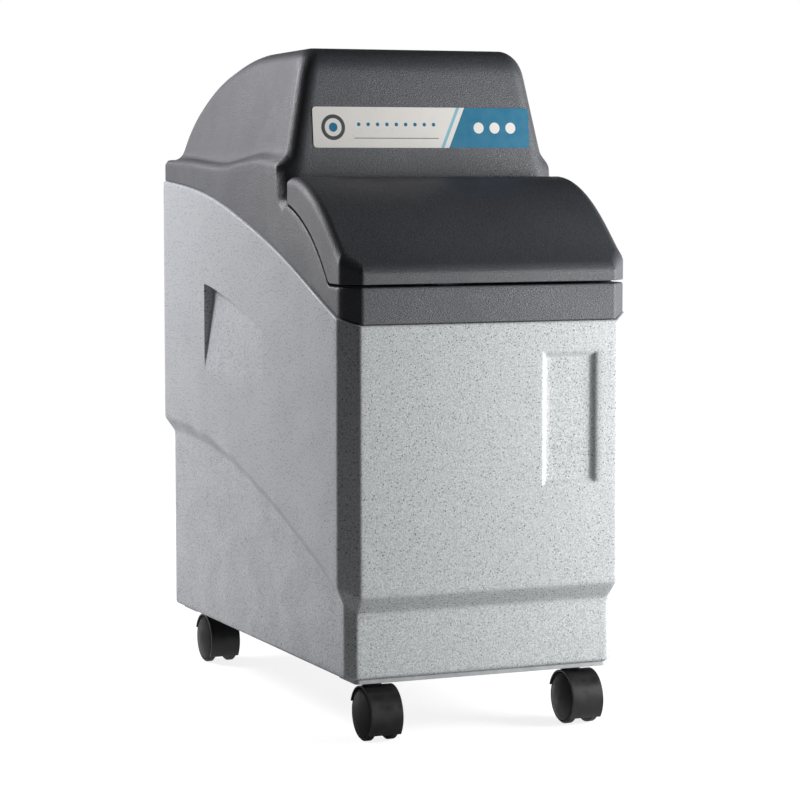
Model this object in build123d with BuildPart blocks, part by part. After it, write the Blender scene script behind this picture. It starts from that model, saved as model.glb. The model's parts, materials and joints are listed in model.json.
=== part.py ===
from build123d import *
from math import acos, asin, cos, pi, radians, sin, sqrt, tan
import os

os.makedirs("parts", exist_ok=True)

# Compact cabinet water softener on casters.
# Front faces -Y, +Z is up, X = 0 is the middle plane, the floor is at Z = 0.

# Whole object
cabinet_width = 300
cabinet_depth = 540
port_reach = 22  # pipe ends stand this far behind the cabinet
front_y = -(cabinet_depth + port_reach) / 2
rear_y = front_y + cabinet_depth
overrun = 5  # cutters pass the faces that they cut by this much
flat_gap = 0.3  # between parts of different bodies that rest on each other
running_gap = 0.05  # radial, a shaft in its hole
loose_gap = 0.5  # radial, a screw in its hole

# Cabinet
floor_height = 60
cabinet_wall = 4
upper_chamfer = 17
lower_chamfer = 9.4
plan_round = 5
ledge_step_side = 9.5
ledge_step_front = 14.4
ledge_step_rear = 13.3
ledge_low_front = 123.5
ledge_low_rear = 245.6
ledge_top_front = 140
ledge_top_rear = 266
seam_front = 393
seam_rear = 524
seam_gap = 0.4

# Shares of the run from front to rear, and of the rise along it
ledge_shares = [(0.075, 0.155), (0.2, 0.36), (0.35, 0.57), (0.51, 0.765), (0.68, 0.92), (0.85, 0.99)]
seam_shares = [(0.1, 0.15), (0.26, 0.4), (0.47, 0.665), (0.69, 0.875)]

# Pocket pressed into the front, and the hand pockets in both sides
panel_width = 57
panel_height = 127
panel_from_side = 67.5
panel_z = 300.5
panel_bevel = 5
panel_sunk = 4
hand_front = 217  # from the front of the cabinet
hand_rear = 388
hand_low = 325
hand_top_front = 375
hand_top_rear = 416
hand_bow = 5
hand_deep = 12

# Top cover
cover_wall = 3
rim_front = 428
rim_flat = 43  # level part of the rim behind its front face
rim_round = 3
deck_foot_round = 9
deck_round = 190
deck_rear = 503
deck_end = 157  # from the front of the cabinet to the back of the salt lid
deck_rear_round = 30
shoulder_front = 189
shoulder_top = 549
shoulder_dip = 11
shoulder_rear = 547
shoulder_foot_round = 14
shoulder_lip_round = 9
shoulder_round = 150
shoulder_dip_round = 300
hood_front = 165
hood_lean = 13  # the hood's front leans back this far from foot to top
hood_foot = 530
hood_top = 656.5
hood_from_rear = 14
hood_side_in = 11
hood_top_in = 36.5
hood_side_round = 14
hood_front_round = 22
hood_top_round = 300
hood_back_round = 60
hood_rear_round = 30
hood_rear_in = 20
opening_side_rim = 26
opening_front = 32
opening_rear = 132
cutout_width = 124
cutout_top = 574
spigot_drop = 12
spigot_wall = 2.5

# Shares of the cover's runs and rises where its side outline turns
deck_bow_shares = (0.39, 0.73)
shoulder_step_share = 0.25
shoulder_peak_share = 0.425
shoulder_dip_share = 0.64
shoulder_tail_share = 0.82
hood_back_share = 0.713
hood_back_drop_share = 0.13
hood_tail_drop_share = 0.54

# Salt lid
lid_wall = 3
lid_gap = 1.2
lid_side_gap = 1
lid_front_top = 447
lid_rear_top = 529.5
lid_rear = 151.5  # from the front of the cabinet
lid_shares = [(0.15, 0.133), (0.3, 0.303), (0.49, 0.534), (0.68, 0.764), (0.855, 0.927)]
lid_edge_round = 6
hinge_from_front = 144.5
hinge_height = 512
hinge_from_side = 54
hinge_barrel = 16
hinge_ear = 4
hinge_r = 4.5
hinge_pin_r = 2
hinge_gap = 0.6

# Label
label_width = 226
label_height = 40
label_thick = 0.6
label_z = 577

# Caster bars and casters
bar_thick = 4
bar_deep = 45
bar_from_side = 19
bar_from_front = 17
bar_from_rear = 21
wheel_r = 25
wheel_width = 8
wheel_dome = 4
web_thick = 4
wheel_side_gap = 0.4
hood_skin = 1.6
hood_air = 0.7
axle_r = 3
stem_r = 5
stem_nut_r = 8.5
stem_nut_high = 1.8
neck_r = 11
neck_gap = 0.3
caster_from_side = 45
caster_from_front = 45
caster_from_rear = 43
caster_trail = 16
bar_screw_r = 2.5
bar_screw_head_r = 5
bar_screw_head_high = 3
bar_screw_from_side = 90

# Resin tank and its tubes
tank_r = 101.5
tank_wall = 3.5
tank_height = 432
tank_dome = 38
tank_neck_r = 35
tank_neck_high = 22
tank_wall_gap = 4
tank_foot_gap = 4
base_wall = 3
base_high = 62
riser_r = 13.5
riser_wall = 1.6
basket_r = 22
basket_high = 60
bed_share = 0.62  # of the tank's height that the resin fills
tank_shoulder_share = 0.56
tank_shoulder_drop_share = 0.38

# Control valve
bore_height = 60  # from the tank's top to the piston bore
valve_r = 25
valve_length = 98
seal_r = 17
piston_r = 12
piston_groove = 4
piston_travel = 24
piston_length = 46
rod_r = 4
collar_r = 46
collar_high = 22
port_spacing = 64
port_r = 16.5
port_bore_r = 11
port_drop = 15
bracket_thick = 4
bracket_gap = 1
gear_teeth = 56
pinion_teeth = 12
gear_module = 1.25
dedendum_share = 1.25  # of the module
gear_width = 9
gear_backlash = 0.12
pressure_angle = 20
motor_r = 14
motor_length = 40
motor_shaft_r = 2
pinion_angle = 45
control_half = 62
control_low = 44  # below the bore
control_high = 60  # above the bore
control_deep = 56
control_wall = 2
window_width = 62
window_height = 26
window_thick = 1.5
button_r = 5
button_pitch = 24
button_travel = 1.5
button_out = 2.5
button_drop = 22
board_thick = 1.6
bypass_deep = 36
bypass_wall = 6
spigot_r = 15
spigot_flange = 3
flange_lip = 1.5
rotor_r = 12.5
knob_high = 11
knob_r = 15
knob_wing = 4.5
drain_r = 7
drain_bore_r = 4.5
injector_size = 22
turbine_r = 9.5
turbine_long = 10
turbine_hub_r = 3
turbine_pin_r = 1

# Brine side
well_r = 38
well_wall = 2
well_side_gap = 13.5
well_tank_gap = 25.5
well_top = 440
cap_high = 9
pickup_r = 6
pickup_wall = 1.2
float_r = 20
float_high = 34
float_travel = 40
line_r = 4.75
line_wall = 1
line_bend = 30
line_first_share = 0.7  # of the main bend
line_last_share = 0.55  # of the last run
overflow_r = 9
overflow_bore_r = 6.5
overflow_height = 370
overflow_from_side = 80
inlet_socket_r = 5
inlet_socket_bore = 2.8
inlet_socket_long = 12

# Places worked out from the sizes above
half_width = cabinet_width / 2
panel_x = half_width - panel_from_side
hood_rear = cabinet_depth - hood_from_rear
hood_half_foot = half_width - hood_side_in
hood_half_top = half_width - hood_top_in
hinge_x = half_width - hinge_from_side
bar_half_width = half_width - bar_from_side
caster_x = half_width - caster_from_side
bar_screw_x = half_width - bar_screw_from_side
overflow_x = half_width - overflow_from_side
bar_top = floor_height
bar_bottom = floor_height - bar_thick
inner_rear = rear_y - ledge_step_rear - cabinet_wall
tank_y = inner_rear - tank_wall_gap - tank_r
tank_bottom = floor_height + cabinet_wall + tank_foot_gap
tank_top = tank_bottom + tank_height
bore_z = tank_top + bore_height
valve_rear = tank_y + valve_length / 2
valve_front = tank_y - valve_length / 2
port_z = bore_z - port_drop
port_end = rear_y + port_reach
bypass_rear = valve_rear + flat_gap + bypass_deep
hinge_y = front_y + hinge_from_front
well_x = -(half_width - ledge_step_side - cabinet_wall - well_side_gap - well_r)
well_reach = tank_r + well_tank_gap + well_r
well_y = tank_y - well_reach
well_foot = floor_height + cabinet_wall
axle_z = wheel_r
equal_wall_share = 2 - sqrt(2)  # a chamfer's leg shrinks by this share of the inset
bar_places = {
    "front": front_y + bar_from_front + bar_deep / 2,
    "rear": rear_y - bar_from_rear - bar_deep / 2,
}
stem_places = {"front": front_y + caster_from_front, "rear": rear_y - caster_from_rear}
screw_spots = [(side * bar_screw_x, place) for place in bar_places.values() for side in (-1, 1)]


def run_points(start, end, low, high, shares):
    """Points on a side outline, by shares of its run and of its rise."""
    middle = [(start + (end - start) * along, low + (high - low) * up) for along, up in shares]
    return [(start, low)] + middle + [(end, high)]


def plan_prism(half, front, rear, corner, low, high):
    """Upright block with chamfered and softly rounded corners in plan."""
    with BuildPart() as block:
        with BuildSketch(Plane.XY.offset(low)):
            with Locations((0, (front + rear) / 2)):
                Rectangle(2 * half, rear - front)
            chamfer(vertices(), corner)
            fillet(vertices(), plan_round)
        extrude(amount=high - low)
    return block.part


def below_curve(points, low, half):
    """Everything under a side outline that runs level past both its ends."""
    first = Vector(*points[0])
    last = Vector(*points[-1])
    with BuildPart() as region:
        with BuildSketch(Plane.YZ):
            with BuildLine():
                Line((first.X - cabinet_depth, first.Y), first)
                Spline(*points)
                Line(last, (last.X + cabinet_depth, last.Y))
                Polyline(
                    (last.X + cabinet_depth, last.Y),
                    (last.X + cabinet_depth, low),
                    (first.X - cabinet_depth, low),
                    (first.X - cabinet_depth, first.Y),
                )
            make_face()
        extrude(amount=half, both=True)
    return region.part


def ledge_wedge(direction, near, far, low_z, high_z):
    """Space under the ledge on one side, seen along the ledge's own edge."""
    slope = (high_z - low_z) / (far - near)
    across = Vector(*direction).normalized()
    section = Plane(origin=(0, 0, 0), x_dir=across, z_dir=across.cross(Vector(0, 0, 1)))
    with BuildPart() as wedge:
        with BuildSketch(section):
            Polygon(
                (near, low_z),
                (far + overrun, high_z + slope * overrun),
                (far + overrun, 0),
                (near, 0),
                align=None,
            )
        extrude(amount=cabinet_depth, both=True)
    return wedge.part


def ledge_side(side, inset):
    """Space under the curved ledge along one long side."""
    reach = 1 + overrun / ledge_step_side
    top_front = ledge_low_front + (ledge_top_front - ledge_low_front) * reach
    top_rear = ledge_low_rear + (ledge_top_rear - ledge_low_rear) * reach
    inner = run_points(
        front_y + ledge_step_front, rear_y - ledge_step_rear, ledge_low_front, ledge_low_rear, ledge_shares
    )
    outer = run_points(front_y, rear_y, top_front, top_rear, ledge_shares)
    places = [half_width - inset - ledge_step_side, half_width - inset + overrun]
    with BuildPart() as space:
        for place, points in zip(places, [inner, outer]):
            first = Vector(*points[0])
            last = Vector(*points[-1])
            with BuildSketch(Plane.YZ.offset(side * place)):
                with BuildLine():
                    Line((front_y - overrun, first.Y), first)
                    Spline(*points)
                    Line(last, (rear_y + overrun, last.Y))
                    Line((rear_y + overrun, last.Y), (rear_y + overrun, 0))
                    Line((rear_y + overrun, 0), (front_y - overrun, 0))
                    Line((front_y - overrun, 0), (front_y - overrun, first.Y))
                make_face()
        loft(ruled=True)
    return space.part


def cabinet_form(inset, bottom, top):
    """The cabinet's outer form, or the same form drawn in by a wall."""
    corner_high = upper_chamfer - inset * equal_wall_share
    corner_low = lower_chamfer - inset * equal_wall_share
    front = front_y + inset
    rear = rear_y - inset
    half = half_width - inset
    low_front = front + ledge_step_front
    low_rear = rear - ledge_step_rear
    low_half = half - ledge_step_side
    with BuildPart() as form:
        add(plan_prism(half, front, rear, corner_high, bottom, top))
        for side in (-1, 1):
            add(ledge_side(side, inset), mode=Mode.SUBTRACT)
        front_heights = (ledge_low_front, ledge_top_front)
        rear_heights = (ledge_low_rear, ledge_top_rear)
        add(ledge_wedge((0, -1, 0), -low_front, -front, *front_heights), mode=Mode.SUBTRACT)
        add(ledge_wedge((0, 1, 0), low_rear, rear, *rear_heights), mode=Mode.SUBTRACT)
        for side in (-1, 1):
            near = (low_half - low_front - corner_low) / sqrt(2)
            far = (half - front - corner_high) / sqrt(2)
            add(ledge_wedge((side, -1, 0), near, far, *front_heights), mode=Mode.SUBTRACT)
            near = (low_half + low_rear - corner_low) / sqrt(2)
            far = (half + rear - corner_high) / sqrt(2)
            add(ledge_wedge((side, 1, 0), near, far, *rear_heights), mode=Mode.SUBTRACT)
        add(plan_prism(low_half, low_front, low_rear, corner_low, bottom, top))
    return form.part


def hand_pocket(side, grow):
    """Ramped hand pocket in one side, or the same pocket with a wall round it."""
    top_start = (front_y + hand_front - grow, hand_top_front + grow)
    middle_high = (hand_top_front + hand_top_rear) / 2 + hand_bow
    top_middle = (front_y + (hand_front + hand_rear) / 2, middle_high + grow)
    top_end = (front_y + hand_rear + grow, hand_top_rear + grow)
    low = hand_low - grow
    with BuildPart() as pocket:
        with BuildSketch(Plane.XZ.offset(-(front_y + hand_front - grow))):
            Polygon(
                (side * (half_width + overrun), low),
                (side * half_width, low),
                (side * (half_width - hand_deep - grow), hand_top_rear + grow + overrun),
                (side * (half_width + overrun), hand_top_rear + grow + overrun),
                align=None,
            )
        extrude(amount=-(hand_rear - hand_front + 2 * grow))
        with BuildSketch(Plane.YZ):
            with BuildLine():
                ThreePointArc(top_start, top_middle, top_end)
                Polyline(top_end, (top_end[0], low), (top_start[0], low), top_start)
            make_face()
        extrude(amount=cabinet_width, both=True, mode=Mode.INTERSECT)
    return pocket.part


def front_panel(grow):
    """Bevelled recess in the front, or the same recess with a wall behind it."""
    with BuildPart() as panel:
        with BuildSketch(Plane.XZ.offset(-front_y)):
            with Locations((panel_x, panel_z)):
                Rectangle(panel_width + 2 * grow, panel_height + 2 * grow)
        with BuildSketch(Plane.XZ.offset(-(front_y + panel_sunk + grow))):
            with Locations((panel_x, panel_z)):
                Rectangle(
                    panel_width + 2 * grow - 2 * panel_bevel,
                    panel_height + 2 * grow - 2 * panel_bevel,
                )
        loft(ruled=True)
    return panel.part


def skirt_outline(inset, lift):
    """Side outline of the cover's skirt: rim, deck under the lid, and shoulder."""
    rise = deck_rear - rim_front
    run = deck_end - rim_flat
    bow = (front_y + rim_flat + run * deck_bow_shares[0], rim_front + rise * deck_bow_shares[1])
    step_y = shoulder_front - (shoulder_front - deck_end) * shoulder_step_share
    low = seam_front / 2
    corners = [
        (front_y, low),
        (front_y, rim_front),
        (front_y + rim_flat, rim_front),
        bow,
        (front_y + deck_end, deck_rear),
        (front_y + step_y, deck_rear + lid_wall),
        (front_y + shoulder_front, shoulder_top - lid_wall),
        (front_y + cabinet_depth * shoulder_peak_share, shoulder_top),
        (front_y + cabinet_depth * shoulder_dip_share, shoulder_top - shoulder_dip),
        (front_y + cabinet_depth * shoulder_tail_share, shoulder_rear - lid_wall),
        (rear_y, shoulder_rear),
        (rear_y, low),
    ]
    points = [(place, height + lift) for place, height in corners]
    rounds = [
        rim_round,
        deck_foot_round,
        deck_round,
        deck_rear_round,
        shoulder_foot_round,
        shoulder_lip_round,
        shoulder_round,
        shoulder_dip_round,
        shoulder_dip_round,
        lid_edge_round,
    ]
    with BuildSketch(Plane.YZ.offset(-cabinet_width)) as outline:
        with BuildLine():
            FilletPolyline(*points, radius=rounds)
            Line(points[-1], points[0])
        make_face()
        if inset > 0:
            offset(amount=-inset, kind=Kind.INTERSECTION, mode=Mode.REPLACE)
    return outline.sketch


def hood_outline(inset):
    """Side outline of the hood over the valve."""
    low = seam_front / 2
    rise = hood_top - hood_foot
    lean_low = hood_lean * (hood_foot - low) / rise
    points = [
        (front_y + hood_front - lean_low, low),
        (front_y + hood_front + hood_lean, hood_top),
        (front_y + cabinet_depth * hood_back_share, hood_top - hood_back_drop_share * rise),
        (front_y + hood_rear - hood_rear_in, hood_top - hood_tail_drop_share * rise),
        (front_y + hood_rear, hood_foot),
        (front_y + hood_rear, low),
    ]
    rounds = [hood_front_round, hood_top_round, hood_back_round, hood_rear_round]
    with BuildSketch(Plane.YZ.offset(-cabinet_width)) as outline:
        with BuildLine():
            FilletPolyline(*points, radius=rounds)
            Line(points[-1], points[0])
        make_face()
        if inset > 0:
            offset(amount=-inset, kind=Kind.INTERSECTION, mode=Mode.REPLACE)
    return outline.sketch


def hood_form(inset):
    """Hood over the valve: side outline cut by the leaning sides."""
    flare = (hood_half_foot - hood_half_top) / (hood_top - hood_foot)
    low = seam_front / 2
    half_low = hood_half_foot + flare * (hood_foot - low) - inset
    half_high = hood_half_top - flare * overrun - inset
    with BuildPart() as form:
        add(hood_outline(inset))
        extrude(amount=2 * cabinet_width, dir=(1, 0, 0))
        with BuildSketch(Plane.XZ.offset(-(front_y - overrun))):
            Polygon(
                (-half_low, low - overrun),
                (half_low, low - overrun),
                (half_high, hood_top + overrun),
                (-half_high, hood_top + overrun),
                align=None,
            )
        extrude(amount=-2 * cabinet_depth, mode=Mode.INTERSECT)
        sides = form.faces().filter_by(lambda face: abs(face.normal_at().X) > 0.9)
        round_edges = ShapeList()
        for face in sides:
            for edge in face.edges():
                middle = edge.position_at(0.5)
                if middle.Z > low and (edge.position_at(0) - edge.position_at(1)).length > flat_gap:
                    round_edges.append(edge)
        fillet(round_edges, hood_side_round - inset)
        add(upper_prism(inset), mode=Mode.INTERSECT)
    return form.part


def upper_prism(inset):
    """Upright block on the upper cabinet's plan, drawn in by an inset."""
    corner = upper_chamfer - inset * equal_wall_share
    return plan_prism(half_width - inset, front_y + inset, rear_y - inset, corner, 0, hood_top + overrun)


def skirt_form(inset, lift=0):
    """Wide lower part of the cover, or the same form raised by a gap."""
    with BuildPart() as form:
        add(skirt_outline(inset, lift))
        extrude(amount=2 * cabinet_width, dir=(1, 0, 0))
        add(upper_prism(inset), mode=Mode.INTERSECT)
    return form.part


def seam_line(shift):
    """The seam between cabinet and cover, raised by a shift."""
    points = run_points(front_y, rear_y, seam_front, seam_rear, seam_shares)
    return [(place, height + shift) for place, height in points]


def seam_band(outer, inner, low, high):
    """Ring inside the walls, between two heights that follow the seam."""
    with BuildPart() as band:
        add(upper_prism(outer))
        add(upper_prism(inner), mode=Mode.SUBTRACT)
        add(below_curve(seam_line(high), 0, cabinet_width), mode=Mode.INTERSECT)
        add(below_curve(seam_line(low), 0, cabinet_width), mode=Mode.SUBTRACT)
    return band.part


def lid_form(inset):
    """Block under the lid's outer surface, or under its inner one."""
    start = front_y + inset
    end = front_y + lid_rear - inset
    top = run_points(start, end, lid_front_top - inset, lid_rear_top - inset, lid_shares)
    half = half_width - lid_side_gap
    corner = upper_chamfer - inset * equal_wall_share
    with BuildPart() as form:
        with BuildSketch(Plane.YZ.offset(-cabinet_width)):
            with BuildLine():
                Spline(*top)
                Polyline((end, lid_rear_top - inset), (end, seam_front), (start, seam_front), top[0])
            make_face()
        extrude(amount=2 * cabinet_width, dir=(1, 0, 0))
        add(plan_prism(half - inset, start, rear_y, corner, 0, hood_top), mode=Mode.INTERSECT)
        least = lid_front_top - inset - lid_gap
        round_edges = form.edges().filter_by(lambda edge: edge.position_at(0.5).Z > least)
        fillet(round_edges, lid_edge_round - inset)
    return form.part


def save(part, name):
    part.label = name
    export_step(part, f"parts/{name}.step")


# Cabinet: one hollow moulding, open at the top
with BuildPart() as cavity:
    add(cabinet_form(cabinet_wall, floor_height + cabinet_wall, hood_top))
    add(front_panel(cabinet_wall), mode=Mode.SUBTRACT)
    for side in (-1, 1):
        add(hand_pocket(side, cabinet_wall), mode=Mode.SUBTRACT)

with BuildPart() as cabinet:
    add(cabinet_form(0, floor_height, seam_rear + overrun))
    add(below_curve(seam_line(0), 0, cabinet_width), mode=Mode.INTERSECT)
    add(front_panel(0), mode=Mode.SUBTRACT)
    for side in (-1, 1):
        add(hand_pocket(side, 0), mode=Mode.SUBTRACT)
    add(cavity.part, mode=Mode.SUBTRACT)
    with BuildSketch(Plane.XY.offset(floor_height)):
        with Locations(*screw_spots):
            Circle(bar_screw_r + running_gap)
    extrude(amount=cabinet_wall, mode=Mode.SUBTRACT)
    with BuildSketch(Plane.XZ.offset(-(rear_y - 2 * cabinet_wall))):
        with Locations((overflow_x, overflow_height)):
            Circle(overflow_r + running_gap)
    extrude(amount=-3 * cabinet_wall, mode=Mode.SUBTRACT)
save(cabinet.part, "cabinet")

# Top cover: skirt and hood in one shell, with the salt opening, the pipe cut-out,
# a spigot that drops inside the cabinet, and the ears of the lid's hinges
with BuildPart() as cover_room:
    add(skirt_form(cover_wall))
    add(hood_form(cover_wall))

ear_places = []
for side in (-1, 1):
    for end in (-1, 1):
        ear_places.append(side * hinge_x + end * (hinge_barrel / 2 + hinge_gap + hinge_ear / 2))

with BuildPart() as top_cover:
    add(skirt_form(0))
    add(hood_form(0))
    add(cover_room.part, mode=Mode.SUBTRACT)
    add(below_curve(seam_line(seam_gap), 0, cabinet_width), mode=Mode.SUBTRACT)
    add(seam_band(0, cabinet_wall + flat_gap + spigot_wall, seam_gap, spigot_drop))
    add(seam_band(cabinet_wall + flat_gap, cabinet_wall + flat_gap + spigot_wall, -spigot_drop, spigot_drop))
    with BuildSketch(Plane.XY.offset(rim_front - spigot_drop)):
        with Locations((0, front_y + (opening_front + opening_rear) / 2)):
            RectangleRounded(
                cabinet_width - 2 * opening_side_rim, opening_rear - opening_front, opening_front / 3
            )
    extrude(amount=hood_foot - rim_front, mode=Mode.SUBTRACT)
    with BuildSketch(Plane.XZ.offset(-(rear_y - bar_deep))):
        with Locations((0, (cutout_top + seam_front) / 2)):
            RectangleRounded(cutout_width, cutout_top - seam_front, spigot_drop)
    extrude(amount=-(bar_deep + overrun), mode=Mode.SUBTRACT)
    for place in ear_places:
        with BuildSketch(Plane.YZ.offset(place - hinge_ear / 2)):
            with Locations((hinge_y, hinge_height)):
                Circle(hinge_r)
            with Locations((hinge_y, (hinge_height + deck_rear - hinge_r * 2) / 2)):
                Rectangle(2 * hinge_r, hinge_height - deck_rear + hinge_r * 2)
            with Locations((hinge_y, hinge_height)):
                Circle(hinge_pin_r + running_gap, mode=Mode.SUBTRACT)
        extrude(amount=hinge_ear)
save(top_cover.part, "top_cover")

# Hinge pins, held in the cover's ears
with BuildPart() as lid_hinge_pins:
    pin_length = hinge_barrel + 2 * hinge_gap + 2 * hinge_ear
    for side in (-1, 1):
        with BuildSketch(Plane.YZ.offset(side * hinge_x - pin_length / 2)):
            with Locations((hinge_y, hinge_height)):
                Circle(hinge_pin_r)
        extrude(amount=pin_length)
save(lid_hinge_pins.part, "lid_hinge_pins")

# Salt lid: a shell whose edges follow the deck, with two hinge barrels
with BuildPart() as salt_lid:
    add(lid_form(0))
    add(lid_form(lid_wall), mode=Mode.SUBTRACT)
    add(skirt_form(0, lid_gap), mode=Mode.SUBTRACT)
    for side in (-1, 1):
        with BuildSketch(Plane.YZ.offset(side * hinge_x - hinge_barrel / 2)):
            with Locations((hinge_y, hinge_height)):
                Circle(hinge_r)
            with Locations(((hinge_y + front_y + lid_rear - lid_wall / 2) / 2, hinge_height)):
                Rectangle(front_y + lid_rear - lid_wall / 2 - hinge_y, hinge_r)
        extrude(amount=hinge_barrel)
    for place in ear_places:
        with BuildSketch(Plane.YZ.offset(place - hinge_ear / 2 - hinge_gap)):
            with Locations((front_y + lid_rear, hinge_height - hinge_r)):
                Rectangle(4 * lid_wall, 5 * hinge_r + 2 * hinge_gap)
        extrude(amount=hinge_ear + 2 * hinge_gap, mode=Mode.SUBTRACT)
    for side in (-1, 1):
        with BuildSketch(Plane.YZ.offset(side * hinge_x - hinge_barrel)):
            with Locations((hinge_y, hinge_height)):
                Circle(hinge_pin_r + running_gap)
        extrude(amount=2 * hinge_barrel, mode=Mode.SUBTRACT)
save(salt_lid.part, "salt_lid")

# Label on the leaning front of the hood
lean = Vector(0, hood_lean, hood_top - hood_foot).normalized()
label_y = front_y + hood_front + hood_lean * (label_z - hood_foot) / (hood_top - hood_foot)
label_plane = Plane(origin=(0, label_y, label_z), x_dir=(1, 0, 0), z_dir=Vector(1, 0, 0).cross(lean))
with BuildPart() as front_label:
    with BuildSketch(label_plane):
        RectangleRounded(label_width, label_height, label_height / 12)
    extrude(amount=label_thick)
save(front_label.part, "front_label")

# Caster bars: flat rails under the cabinet's front and rear edges
for name, place in bar_places.items():
    with BuildPart() as bar:
        with BuildSketch(Plane.XY.offset(bar_bottom)):
            with Locations((0, place)):
                RectangleRounded(2 * bar_half_width, bar_deep, bar_thick)
            with Locations(*[(side * caster_x, stem_places[name]) for side in (-1, 1)]):
                Circle(stem_r + running_gap, mode=Mode.SUBTRACT)
            with Locations(*[(side * bar_screw_x, place) for side in (-1, 1)]):
                Circle(bar_screw_r + loose_gap, mode=Mode.SUBTRACT)
        extrude(amount=bar_thick)
    save(bar.part, f"{name}_caster_bar")

# Screws that hold the bars, and the caster stems with their nuts
with BuildPart() as bar_screws:
    with BuildSketch(Plane.XY.offset(bar_bottom - bar_screw_head_high)):
        with Locations(*screw_spots):
            RegularPolygon(bar_screw_head_r, 6)
    extrude(amount=bar_screw_head_high)
    with BuildSketch(Plane.XY.offset(bar_bottom)):
        with Locations(*screw_spots):
            Circle(bar_screw_r)
    extrude(amount=bar_thick + cabinet_wall)
save(bar_screws.part, "bar_screws")

caster_spots = []
for end, place in stem_places.items():
    for side, word in ((-1, "left"), (1, "right")):
        caster_spots.append((f"{end}_{word}", side * caster_x, place))

stem_spots = [(x, y) for _, x, y in caster_spots]
nut_bottom = bar_bottom - stem_nut_high
stem_bottom = axle_z
with BuildPart() as caster_stems:
    with BuildSketch(Plane.XY.offset(stem_bottom)):
        with Locations(*stem_spots):
            Circle(stem_r)
    extrude(amount=bar_top - stem_bottom)
    with BuildSketch(Plane.XY.offset(nut_bottom)):
        with Locations(*stem_spots):
            RegularPolygon(stem_nut_r, 6)
    extrude(amount=stem_nut_high)
save(caster_stems.part, "caster_stems")


def dome_arc(radius, foot, rise):
    """Half of a shallow dome's section: square to its axis at the middle."""
    sphere = (radius**2 + rise**2) / (2 * rise)
    half_angle = asin(radius / sphere) / 2
    middle = (foot + rise - sphere + sphere * cos(half_angle), sphere * sin(half_angle))
    return ThreePointArc((foot, radius), middle, (foot + rise, 0), mode=Mode.PRIVATE)


# Casters: hood with its web and stem housing, axle and two wheels
housing_r = stem_r + hood_skin + hood_air
wheel_inner = housing_r + wheel_side_gap
wheel_outer = wheel_inner + wheel_width
hood_r = wheel_r + hood_air + hood_skin
hood_half = wheel_outer + wheel_side_gap
hood_front_angle = 219
hood_rear_angle = 20
neck_top = nut_bottom - neck_gap
housing_bottom = stem_bottom - hood_skin

for caster, x, y in caster_spots:
    wheel_y = y - caster_trail
    middle = Plane(origin=(x, wheel_y, axle_z), x_dir=(0, 1, 0), z_dir=(1, 0, 0))
    with BuildPart() as hood:
        with BuildSketch(middle.offset(-hood_half)):
            with BuildLine():
                CenterArc((0, 0), hood_r, hood_rear_angle, hood_front_angle - hood_rear_angle)
                CenterArc((0, 0), hood_r - hood_skin, hood_rear_angle, hood_front_angle - hood_rear_angle)
                for angle in (hood_rear_angle, hood_front_angle):
                    ray = Vector(cos(radians(angle)), sin(radians(angle)))
                    Line(ray * (hood_r - hood_skin), ray * hood_r)
            make_face()
        extrude(amount=2 * hood_half)
        with BuildSketch(middle.offset(-web_thick / 2)):
            Circle(hood_r - hood_skin / 2)
            with Locations((0, -hood_r)):
                Rectangle(4 * hood_r, hood_r + hood_skin, mode=Mode.SUBTRACT)
        extrude(amount=web_thick)
        with BuildSketch(Plane.XY.offset(housing_bottom)):
            with Locations((x, y)):
                Circle(housing_r)
        extrude(amount=neck_top - housing_bottom)
        with BuildSketch(Plane.XY.offset(axle_z + hood_r - hood_skin)):
            with Locations((x, y)):
                Circle(neck_r)
        extrude(amount=neck_top - axle_z - hood_r + hood_skin)
        with BuildSketch(Plane.XY.offset(stem_bottom - neck_gap)):
            with Locations((x, y)):
                Circle(stem_r + running_gap)
        extrude(amount=neck_top - stem_bottom + overrun, mode=Mode.SUBTRACT)
        with BuildSketch(middle.offset(-hood_half)):
            Circle(axle_r + running_gap)
        extrude(amount=2 * hood_half, mode=Mode.SUBTRACT)
    save(hood.part, f"{caster}_caster_hood")

    axle_half = wheel_outer - hood_skin
    with BuildPart() as axle:
        with BuildSketch(middle.offset(-axle_half)):
            Circle(axle_r)
        extrude(amount=2 * axle_half)
    save(axle.part, f"{caster}_caster_axle")

    for side, word in ((-1, "left"), (1, "right")):
        section = Plane(origin=(x, wheel_y, axle_z), x_dir=(side, 0, 0), z_dir=(0, -side, 0))
        shoulder = wheel_r - hood_skin
        groove = shoulder - hood_air
        bore = axle_r + running_gap
        blind = axle_half + wheel_side_gap
        with BuildPart() as wheel:
            with BuildSketch(section):
                with BuildLine():
                    Polyline(
                        (wheel_inner, bore),
                        (wheel_inner, shoulder),
                        (wheel_inner + hood_skin, wheel_r),
                        (wheel_outer - hood_skin, wheel_r),
                        (wheel_outer, shoulder),
                        (wheel_outer, groove),
                        (wheel_outer - hood_skin, groove),
                        (wheel_outer - hood_skin, groove - hood_air),
                        (wheel_outer, groove - hood_air),
                    )
                    add(dome_arc(groove - hood_air, wheel_outer, wheel_dome))
                    Polyline((wheel_outer + wheel_dome, 0), (blind, 0), (blind, bore), (wheel_inner, bore))
                make_face()
            revolve(axis=Axis((x, wheel_y, axle_z), (1, 0, 0)))
        save(wheel.part, f"{caster}_caster_{word}_wheel")

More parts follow.
